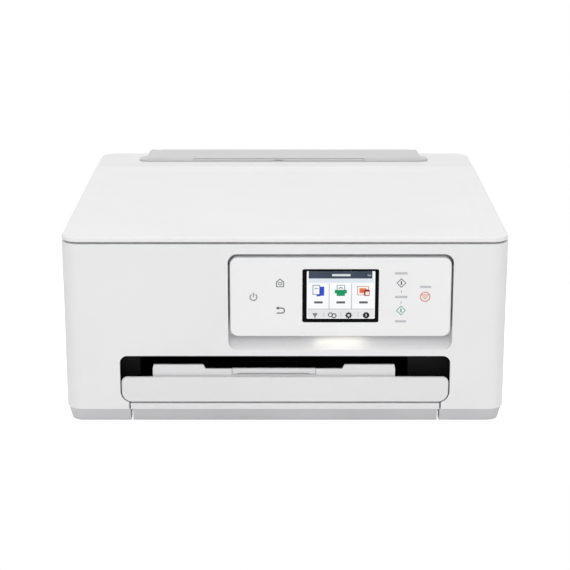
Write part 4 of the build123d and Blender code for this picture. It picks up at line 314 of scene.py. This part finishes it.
# High-impact polystyrene in off-white. The real grain is about 0.15 mm; it is drawn at
# 0.5 mm and up, the finest that shows, as a soft satin sheen without glare.
case_white = moulded("moulded_polystyrene_white", "EFEFF0", "F2F2F3", 0.46, 0.6, 0.02)
lid_white = moulded("moulded_polystyrene_lid", "F1F1F1", "F4F4F4", 0.42, 0.8, 0.02)
# The same plastic in pale grey over the rear tray, and a darker grey in the band round the foot
cover_grey = moulded("moulded_polystyrene_cover", "D0D0D1", "D4D4D5", 0.44, 0.6, 0.02)
# The foot band's plastic is pale grey, darkened further as painted shade: the shade under the
# casing's overhang on its downward-facing faces
base_grey = moulded("moulded_polystyrene_base_painted_shade", "CBCBCD", "D0D0D2", 0.5, 0.5, 0.03)
# Output tray: its front is white, and the paper deck behind its lip is black
TRAY_LIP, DECK_END = -171.9, 0.0
deck = ("Y", TRAY_LIP, DECK_END, "060606", "090909")
tray_white = moulded(
    "moulded_polystyrene_tray", "E9E9EA", "ECECED", 0.38, 0.9, 0.01, shot=deck
)
# Cassette: the foot carries on the grey base band, painted a still darker grey as shade under the
# casing's edge, and the face above it the white casing
BAND_TOP, ABOVE_CASSETTE = 11.9, 20.0
cap = ("Z", BAND_TOP, ABOVE_CASSETTE, "E9E9EA", "ECECED")
# Below BAND_TOP its grey tones are painted shade
cassette_foot_painted_shade = moulded(
    "moulded_polystyrene_cassette_painted_shade", "C4C4C6", "CBCBCD", 0.46, 0.6, 0.02, shot=cap
)
# ABS of the operation panel: smooth and white, with pins at its ends to turn on; the pins are dark
# grey as painted shade of the gap they sit in
panel_low, panel_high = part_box("panel_back")
PIN_ROOT = 0.1  # how far past its ends the white reaches, in millimetres
between_pins = (panel_low[0] / MM - PIN_ROOT, panel_high[0] / MM + PIN_ROOT)
face = ("X", *between_pins, "F6F6F7", "F8F8F9")
# Outside the white face the pins take dark grey tones, which are painted shade
panel_white_pins_painted_shade = moulded(
    "moulded_abs_panel_pins_painted_shade", "3A3B3D", "404143", 0.36, 0.9, 0.006, edge_mm=0.8, shot=face
)
# Polystyrene filled with carbon black: deep matt black that swallows light in the slot
liner_black = moulded("moulded_polystyrene_black", "060606", "090909", 0.7, 0.5, 0.04)
liner_shader = liner_black.node_tree.nodes["Principled BSDF"]
liner_shader.inputs["Specular IOR Level"].default_value = 0.2
# ABS in dark grey: the plain, even mouldings of the print engine
engine_dark = moulded("moulded_abs_dark", "2A2B2D", "303134", 0.5, 0.6, 0.03)
# Polypropylene of the ink cartridges: near black, a little waxy and shinier than the rest
cartridge_dark = moulded(
    "moulded_polypropylene_cartridge", "1B1B1D", "202023", 0.35, 0.8, 0.01
)

FINISHES = {
    "casing_white": case_white,
    "lid_white": lid_white,
    "tray_white": tray_white,
    "cover_grey": cover_grey,
    "base_grey": base_grey,
    "black_plastic": liner_black,
    "dark_plastic": engine_dark,
    "display_black": cover_window(),
    "clear_glass": float_glass(),
    "light_guide": frosted_guide(),
    "pad_foam": pad_foam(),
    "zinc_steel": pressed_zinc(),
    "ground_steel": ground_rod(),
    "acetal": natural_acetal(),
    "roller_rubber": ground_rubber("ground_epdm_rubber", "1B1B1D", "2B2B2D", 0.72),
    "foot_rubber": ground_rubber("soft_foot_rubber", "252527", "343436", 0.85),
    "board_green": circuit_board(),
    "cartridge_black": cartridge_dark,
}
# Parts whose plastic isn't the usual one of their slot
OWN_FINISH = {"panel_front": panel_white_pins_painted_shade, "panel_back": case_white, "cassette": cassette_foot_painted_shade}
for part in frame["record"]["subparts"]:
    skin = OWN_FINISH.get(part["node"], FINISHES[part["material_slot"]])
    node = nodes[part["node"]]
    node.data.materials.clear()
    node.data.materials.append(skin)

# ---- Marks on the operation panel and the picture on its display -----------------------
panel_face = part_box("panel_front")[0][1]
screen_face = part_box("touch_display")[0][1]
INK = 0.03 * MM  # how proud a printed mark stands
CORNER_STEPS = 4  # facets round the corner of a tile
HAIR = 1e-7  # in metres, a distance that counts as none


def only(*pieces):
    """Leaves these pieces alone selected, and the first one active."""
    for other in bpy.context.selected_objects:
        other.select_set(False)
    for piece in pieces:
        piece.select_set(True)
    bpy.context.view_layer.objects.active = pieces[0]


def soften(wanted, offset, segments):
    """Applies the new piece's place and bevels those of its edges that wanted picks."""
    piece = bpy.context.object
    only(piece)
    bpy.ops.object.transform_apply(location=True, rotation=True, scale=True)
    bpy.ops.object.mode_set(mode="EDIT")
    bpy.ops.mesh.select_mode(type="EDGE")
    bpy.ops.mesh.select_all(action="DESELECT")
    shape = bmesh.from_edit_mesh(piece.data)
    for edge in shape.edges:
        edge.select = wanted(edge)
    bmesh.update_edit_mesh(piece.data)
    bpy.ops.mesh.bevel(offset=offset, segments=segments, affect="EDGES")
    bpy.ops.object.mode_set(mode="OBJECT")
    return piece


def tile(x, z, face, corner):
    """A thin plate over the ranges x and z in millimetres, its four corners rounded."""
    bpy.ops.mesh.primitive_cube_add(
        size=1,
        location=(sum(x) / 2 * MM, face, sum(z) / 2 * MM),
        scale=((x[1] - x[0]) * MM, 2 * INK, (z[1] - z[0]) * MM),
    )

    def from_front_to_back(edge):
        run = edge.verts[0].co - edge.verts[1].co
        return abs(run.x) + abs(run.z) < HAIR

    return soften(from_front_to_back, corner * MM, CORNER_STEPS)


def badge(x, z, radius, sides, face, turn=0.0, proud=INK):
    """A solid mark with so many sides, turned by turn degrees, its front rim chamfered."""
    bpy.ops.mesh.primitive_cylinder_add(
        vertices=sides,
        radius=radius * MM,
        depth=2 * proud,
        location=(x * MM, face, z * MM),
        rotation=(math.radians(90), math.radians(turn), 0),
    )

    def on_front_rim(edge):
        return all(end.co.y < face for end in edge.verts)

    return soften(on_front_rim, proud / 2, 1)


def strokes(lines, width, face):
    """Drawn lines of one width through (x, z) points in millimetres, pressed flat to the
    height of ink. A line that ends where it starts is closed."""
    curve = bpy.data.curves.new("strokes", "CURVE")
    curve.dimensions = "3D"
    curve.bevel_depth = width / 2 * MM
    curve.bevel_resolution = 2
    curve.use_fill_caps = True
    for line in lines:
        ring = line[0] == line[-1]
        spots = line[:-1] if ring else line
        spline = curve.splines.new("POLY")
        spline.points.add(len(spots) - 1)
        for point, (x, z) in zip(spline.points, spots):
            point.co = (x * MM, face, z * MM, 1)
        spline.use_cyclic_u = ring
    piece = bpy.data.objects.new("strokes", curve)
    bpy.context.scene.collection.objects.link(piece)
    only(piece)
    bpy.ops.object.convert(target="MESH")
    piece = bpy.context.object
    bpy.ops.object.mode_set(mode="EDIT")
    bpy.ops.mesh.select_all(action="SELECT")
    flat = (1, INK / (width / 2 * MM), 1)
    bpy.ops.transform.resize(value=flat, center_override=(0, face, 0))
    bpy.ops.object.mode_set(mode="OBJECT")
    return piece


def arc(x, z, radius, start, end, steps):
    """Points in millimetres along an arc, its angles in degrees from the right."""
    turns = [math.radians(start + (end - start) * i / steps) for i in range(steps + 1)]
    spots = [(x + radius * math.cos(a), z + radius * math.sin(a)) for a in turns]
    if abs(end - start) == 360:
        spots[-1] = spots[0]
    return spots


def diamond(x, z, half):
    """A closed diamond about (x, z)."""
    return [(x - half, z), (x, z + half), (x + half, z), (x, z - half), (x - half, z)]


def mark(name, skin, *shapes):
    """Joins shapes of one finish into one piece that rides on the operation panel."""
    only(*shapes)
    if len(shapes) > 1:
        bpy.ops.object.join()
    piece = bpy.context.object
    piece.name = piece.data.name = name
    piece.data.materials.clear()
    piece.data.materials.append(skin)
    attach(piece, "operation_panel")


def printed(name, dark, light):
    """Pad-printed two-part ink: a matt film with pinholes and a pigment that varies from dot
    to dot. The real dots are 0.1 mm; they are drawn at 0.4 mm, the finest that shows."""
    material, tree, surface, place = finish(name, light, 0.55)
    dot_size = 0.4 * MM
    dots = add(
        tree, "ShaderNodeTexNoise", {"Vector": place, "Scale": 1 / dot_size, "Detail": 2.0}
    ).outputs["Fac"]
    tone = tint(tree, dots, dark, light, 0.35, 0.65)
    dress(tree, surface, tone=tone, shine=(dots, 0.45, 0.65), relief=(dots, 0.3, 0.01))
    return material


def lit(name, dark, light):
    """Liquid crystal cells behind the screen's window, lit from behind by a diffuser whose
    brightness wanders over about 15 mm, so that flat colours are never quite flat."""
    material, tree, surface, place = finish(
        name, "040405", 0.12, Specular_IOR_Level=0.12, Emission_Strength=1.0
    )
    patch_size = 15 * MM
    diffuser = add(
        tree, "ShaderNodeTexNoise", {"Vector": place, "Scale": 1 / patch_size, "Detail": 1.0}
    ).outputs["Fac"]
    glow = tint(tree, diffuser, dark, light, MID_LOW, MID_HIGH)
    tree.links.new(glow, surface.inputs["Emission Color"])
    dress(tree, surface, shine=(diffuser, 0.1, 0.14))
    return material


grey_ink = printed("grey_pad_print", "66676A", "747578")
dark_ink = printed("dark_pad_print", "36383A", "434547")
pale_ink = printed("pale_pad_print", "BFC0C3", "C8C9CC")
green_ink = printed("green_pad_print", "27957A", "3CA88C")
orange_ink = printed("orange_pad_print", "DB6843", "E67B57")
peach_ink = printed("peach_pad_print", "F1CCB8", "F6D7C6")

# Places and widths are in millimetres: x from the printer's middle, z from the table
power = arc(-26.6, 112.2, 2.9, 125, 415, 20)
power_bar = [(-26.6, 112.1), (-26.6, 116.2)]
eaves, floor = 125.4, 121.3
house = [(-7.2, floor), (-1.2, floor), (-1.2, eaves), (-4.2, 128.0), (-7.2, eaves), (-7.2, floor)]
door = [(-5.3, 123.0), (-3.1, 123.0), (-3.1, 125.0), (-5.3, 125.0), (-5.3, 123.0)]
back_bend = arc(-2.65, 100.36, 2.19, 90, -90, 10)
back_turn = [(-5.6, 102.55), (-2.65, 102.55), *back_bend, (-7.2, 98.17)]
mark("power_symbol", grey_ink, strokes([power, power_bar], 0.85, panel_face))
mark(
    "home_symbol",
    dark_ink,
    strokes([house], 0.9, panel_face),
    strokes([door], 0.8, panel_face),
)
mark(
    "back_symbol",
    dark_ink,
    strokes([back_turn], 0.95, panel_face),
    badge(-6.2, 102.55, 1.75, 3, panel_face, 270),
)
mark(
    "black_start_symbol",
    dark_ink,
    strokes([diamond(98.1, 124.6, 3.7)], 0.9, panel_face),
    strokes([[(98.1, 126.3), (98.1, 122.9)]], 1.1, panel_face),
    strokes([[(98.1, 117.9), (98.1, 116.2)], [(98.1, 108.4), (98.1, 106.8)]], 0.5, panel_face),
)
mark(
    "colour_start_symbol",
    green_ink,
    strokes([diamond(98.1, 100.5, 3.8)], 0.85, panel_face),
    strokes([[(98.1, 102.2), (98.1, 98.8)]], 1.1, panel_face),
)
stop_triangle = [(115.1, 114.6), (121.7, 114.6), (118.4, 110.2), (115.1, 114.6)]
mark(
    "stop_symbol",
    orange_ink,
    strokes([arc(118.4, 112.5, 4.05, 0, 360, 32)], 0.8, panel_face),
    strokes([stop_triangle], 0.7, panel_face),
)
mark("stop_symbol_fill", peach_ink, badge(118.4, 113.0, 2.8, 3, panel_face, 180, INK / 2))
# Plain bars stand where the keys are labelled
mark(
    "key_label_bars",
    pale_ink,
    tile((92.4, 103.1), (132.0, 134.0), panel_face, 0.7),
    tile((92.8, 103.5), (111.4, 113.4), panel_face, 0.7),
    tile((93.1, 102.7), (89.9, 91.8), panel_face, 0.7),
    tile((113.8, 123.2), (120.2, 122.1), panel_face, 0.7),
)

# On the display each layer of the picture stands this much prouder than the one behind it
LAYER_STEP = 0.01 * MM
layer = [screen_face - LAYER_STEP * step for step in range(5)]
mark(
    "screen_ground",
    lit("screen_white", "F6F7F9", "FBFCFE"),
    tile((18.4, 76.0), (93.2, 134.9), layer[0], 0.8),
)
mark(
    "screen_header",
    lit("screen_slate", "3C4754", "424D5A"),
    tile((19.9, 73.6), (128.5, 134.9), layer[1], 0.2),
)
mark(
    "screen_tint",
    lit("screen_pale_blue", "DCE4ED", "E2E9F1"),
    tile((20.0, 75.2), (124.8, 128.4), layer[1], 0.1),
)
mark(
    "screen_status_strip",
    lit("screen_pale_grey", "E1E2E4", "E8E9EB"),
    tile((19.2, 75.4), (94.0, 101.4), layer[1], 0.4),
)
mark(
    "screen_dividers",
    lit("screen_grey", "BDBEC1", "C6C7CA"),
    tile((36.9, 37.6), (102.0, 124.4), layer[1], 0.1),
    tile((55.8, 56.6), (102.0, 124.4), layer[1], 0.1),
    tile((19.4, 75.2), (101.4, 102.0), layer[1], 0.1),
    tile((32.6, 33.1), (94.2, 99.0), layer[2], 0.1),
    tile((47.1, 47.6), (94.2, 99.0), layer[2], 0.1),
    tile((61.6, 62.1), (94.2, 99.0), layer[2], 0.1),
)
mark(
    "screen_header_bars",
    lit("screen_pale_label", "D3D8DE", "DCE0E6"),
    tile((39.6, 55.2), (130.5, 132.4), layer[2], 0.6),
    strokes([[(69.5, 131.8), (71.0, 130.7), (72.5, 131.8)]], 0.6, layer[2]),
)
mark(
    "screen_label_bars",
    lit("screen_dark_label", "5A5B5D", "68696B"),
    tile((24.5, 31.9), (106.6, 108.5), layer[2], 0.6),
    tile((43.3, 50.9), (106.6, 108.5), layer[2], 0.6),
    tile((62.6, 70.0), (106.6, 108.5), layer[2], 0.6),
)
mark(
    "screen_copy_sheet",
    lit("screen_blue", "2C49B4", "3A58C6"),
    tile((28.6, 33.1), (113.4, 121.4), layer[2], 0.3),
    tile((26.6, 30.0), (112.9, 115.0), layer[2], 0.2),
)
copy_sheet = [(23.6, 114.6), (29.2, 114.6), (29.2, 122.6), (23.6, 122.6), (23.6, 114.6)]
mark(
    "screen_copy_outline",
    lit("screen_navy", "232A55", "2E3561"),
    strokes([copy_sheet], 0.8, layer[4]),
    strokes([[(24.8, 119.3), (26.2, 119.9), (28.0, 119.5)]], 0.7, layer[4]),
)
mark(
    "screen_copy_face",
    lit("screen_ice", "F2F4FC", "F8FAFF"),
    tile((23.8, 29.0), (114.8, 122.4), layer[3], 0.1),
)
mark(
    "screen_scan_body",
    lit("screen_green", "168A5C", "209A6A"),
    tile((42.0, 52.2), (115.4, 118.6), layer[2], 0.4),
    tile((43.6, 50.6), (113.2, 116.0), layer[2], 0.3),
)
mark(
    "screen_scan_outline",
    lit("screen_deep_green", "1F6B4C", "2A7A59"),
    strokes([[(43.9, 118.4), (43.9, 122.6), (50.3, 122.6), (50.3, 118.4)]], 0.6, layer[3]),
    strokes([[(45.2, 119.8), (47.0, 120.6), (49.0, 119.9)]], 0.8, layer[3]),
)
frame_line = [(61.2, 114.1), (70.6, 114.1), (70.6, 121.6), (61.2, 121.6), (61.2, 114.1)]
mark(
    "screen_print_frame",
    lit("screen_brick", "B5563C", "C46549"),
    strokes([frame_line], 0.8, layer[2]),
)
mark(
    "screen_print_picture",
    lit("screen_salmon", "EE8A66", "F59A76"),
    tile((62.7, 68.6), (115.6, 120.2), layer[2], 0.3),
)
mark(
    "screen_print_glow",
    lit("screen_vermilion", "D9583A", "E56A4A"),
    tile((63.6, 66.2), (116.4, 119.0), layer[3], 0.6),
)
mark(
    "screen_print_sheet",
    lit("screen_rust", "8E3B2A", "A04834"),
    tile((66.6, 71.6), (113.2, 119.0), layer[3], 1.2),
)
mark(
    "screen_print_sheet_face",
    lit("screen_shell", "F6E3DC", "FBEDE7"),
    tile((67.9, 71.2), (113.9, 117.0), layer[4], 0.8),
)
mark(
    "screen_signal_symbol",
    lit("screen_mid_grey", "7E7F82", "8A8B8E"),
    badge(25.4, 96.7, 2.8, 3, layer[2], 180),
    tile((24.9, 25.9), (93.5, 96.0), layer[2], 0.1),
)
mark(
    "screen_link_symbol",
    lit("screen_dark_grey", "4C4D50", "58595C"),
    strokes([arc(38.5, 96.6, 1.75, 0, 360, 20)], 1.0, layer[2]),
    strokes([arc(41.5, 95.8, 1.75, 0, 360, 20)], 1.0, layer[3]),
)
screen_ink = lit("screen_black", "1E2023", "282A2D")
gear_teeth = arc(53.9, 96.2, 2.6, 0, 315, 7)
mark(
    "screen_setup_symbol",
    screen_ink,
    strokes([arc(53.9, 96.2, 1.7, 0, 360, 24)], 1.9, layer[2]),
    *[badge(*tooth, 0.55, 4, layer[2], 45 * i) for i, tooth in enumerate(gear_teeth)],
)
mark("screen_information_symbol", screen_ink, badge(68.7, 96.2, 2.8, 28, layer[2]))
mark(
    "screen_information_tick",
    lit("screen_tick", "C9CACC", "D3D4D6"),
    tile((68.3, 69.1), (95.0, 97.4), layer[3], 0.2),
)

# ---- Table, light and camera ----------------------------------------------------------
HALF_PLAN = (0.19, 0.18, 0.0)  # half the printer's width and depth
SHADOW_EDGE, SHADOW_END = 0.01, 0.16  # its shadow fades out between these metres from it


def looked_at(tree):
    """1 where the camera, a mirror or glass shows a surface, and 0 where it only lights."""
    rays = add(tree, "ShaderNodeLightPath").outputs
    seen = rays["Is Camera Ray"]
    for ray in ("Is Glossy Ray", "Is Transmission Ray"):
        either = add(tree, "ShaderNodeMath", {0: seen, 1: rays[ray]}, operation="MAXIMUM")
        seen = either.outputs["Value"]
    return seen


bpy.ops.mesh.primitive_plane_add(size=8, location=(0, 0, 0))
table = bpy.context.object
table.name = "table"
table_paint, tree, surface, place = finish(
    "table_paint", "F7F7F7", 0.9, Specular_IOR_Level=0.1
)
# The table reads white round the object and keeps the soft shadow under it
off_centre = add(tree, "ShaderNodeVectorMath", {0: place}, operation="ABSOLUTE")
beside = add(
    tree,
    "ShaderNodeVectorMath",
    {0: off_centre.outputs["Vector"], 1: HALF_PLAN},
    operation="SUBTRACT",
)
outside = add(
    tree,
    "ShaderNodeVectorMath",
    {0: beside.outputs["Vector"], 1: (0.0, 0.0, 0.0)},
    operation="MAXIMUM",
)
away = add(
    tree, "ShaderNodeVectorMath", {0: outside.outputs["Vector"]}, operation="LENGTH"
)
far = add(
    tree,
    "ShaderNodeMapRange",
    {"Value": away.outputs["Value"], "From Min": SHADOW_EDGE, "From Max": SHADOW_END},
    interpolation_type="SMOOTHSTEP",
)
seen = looked_at(tree)
lift = add(tree, "ShaderNodeMapRange", {"Value": seen, "To Min": 0.0, "To Max": 0.72})
surface.inputs["Emission Color"].default_value = ink("FFFFFF")
tree.links.new(lift.outputs["Result"], surface.inputs["Emission Strength"])
plain = add(
    tree, "ShaderNodeMath", {0: far.outputs["Result"], 1: seen}, operation="MULTIPLY"
)
white = add(tree, "ShaderNodeEmission", {"Color": ink("FFFFFF"), "Strength": 1.0})
mixed = add(
    tree,
    "ShaderNodeMixShader",
    {0: plain.outputs["Value"], 1: surface.outputs["BSDF"], 2: white.outputs["Emission"]},
)
tree.links.new(mixed.outputs["Shader"], tree.nodes["Material Output"].inputs["Surface"])
table.data.materials.append(table_paint)

# A white room that lights the printer at half the strength it is seen at
world = bpy.data.worlds.new("studio")
bpy.context.scene.world = world
world.use_nodes = True
tree = world.node_tree
tree.nodes.clear()
level = add(
    tree, "ShaderNodeMapRange", {"Value": looked_at(tree), "To Min": 0.5, "To Max": 1.0}
).outputs["Result"]
room = add(tree, "ShaderNodeBackground", {"Color": ink("FFFFFF"), "Strength": level})
add(tree, "ShaderNodeOutputWorld", {"Surface": room.outputs["Background"]})


def softbox(name, place, aim, size, power):
    """A square lamp at place that faces aim, its side in metres and its power in watts."""
    data = bpy.data.lights.new(name, "AREA")
    data.size = size
    data.energy = power
    lamp = bpy.data.objects.new(name, data)
    bpy.context.scene.collection.objects.link(lamp)
    lamp.location = place
    lamp.rotation_euler = (Vector(aim) - Vector(place)).to_track_quat("-Z", "Y").to_euler()
    return lamp


softbox("top_softbox", (0, 0, 2.0), (0, 0, 0.1), 2.4, 17.2)
front = softbox("front_softbox", (0, -2.4, 1.2), (0, 0, 0.05), 2.0, 17)
front.visible_glossy = False  # its mirror image would burn out the lid seen from behind

DOWNWARD = 15.81  # degrees that the camera looks down
lens = bpy.data.cameras.new("camera")
lens.sensor_width = 36
lens.lens = 108.95
camera = bpy.data.objects.new("camera", lens)
bpy.context.scene.collection.objects.link(camera)
camera.location = (0, -1.5785, 0.519)
camera.rotation_euler = (math.radians(90 - DOWNWARD), 0, 0)
bpy.context.scene.camera = camera
bpy.context.scene.view_settings.view_transform = "Standard"
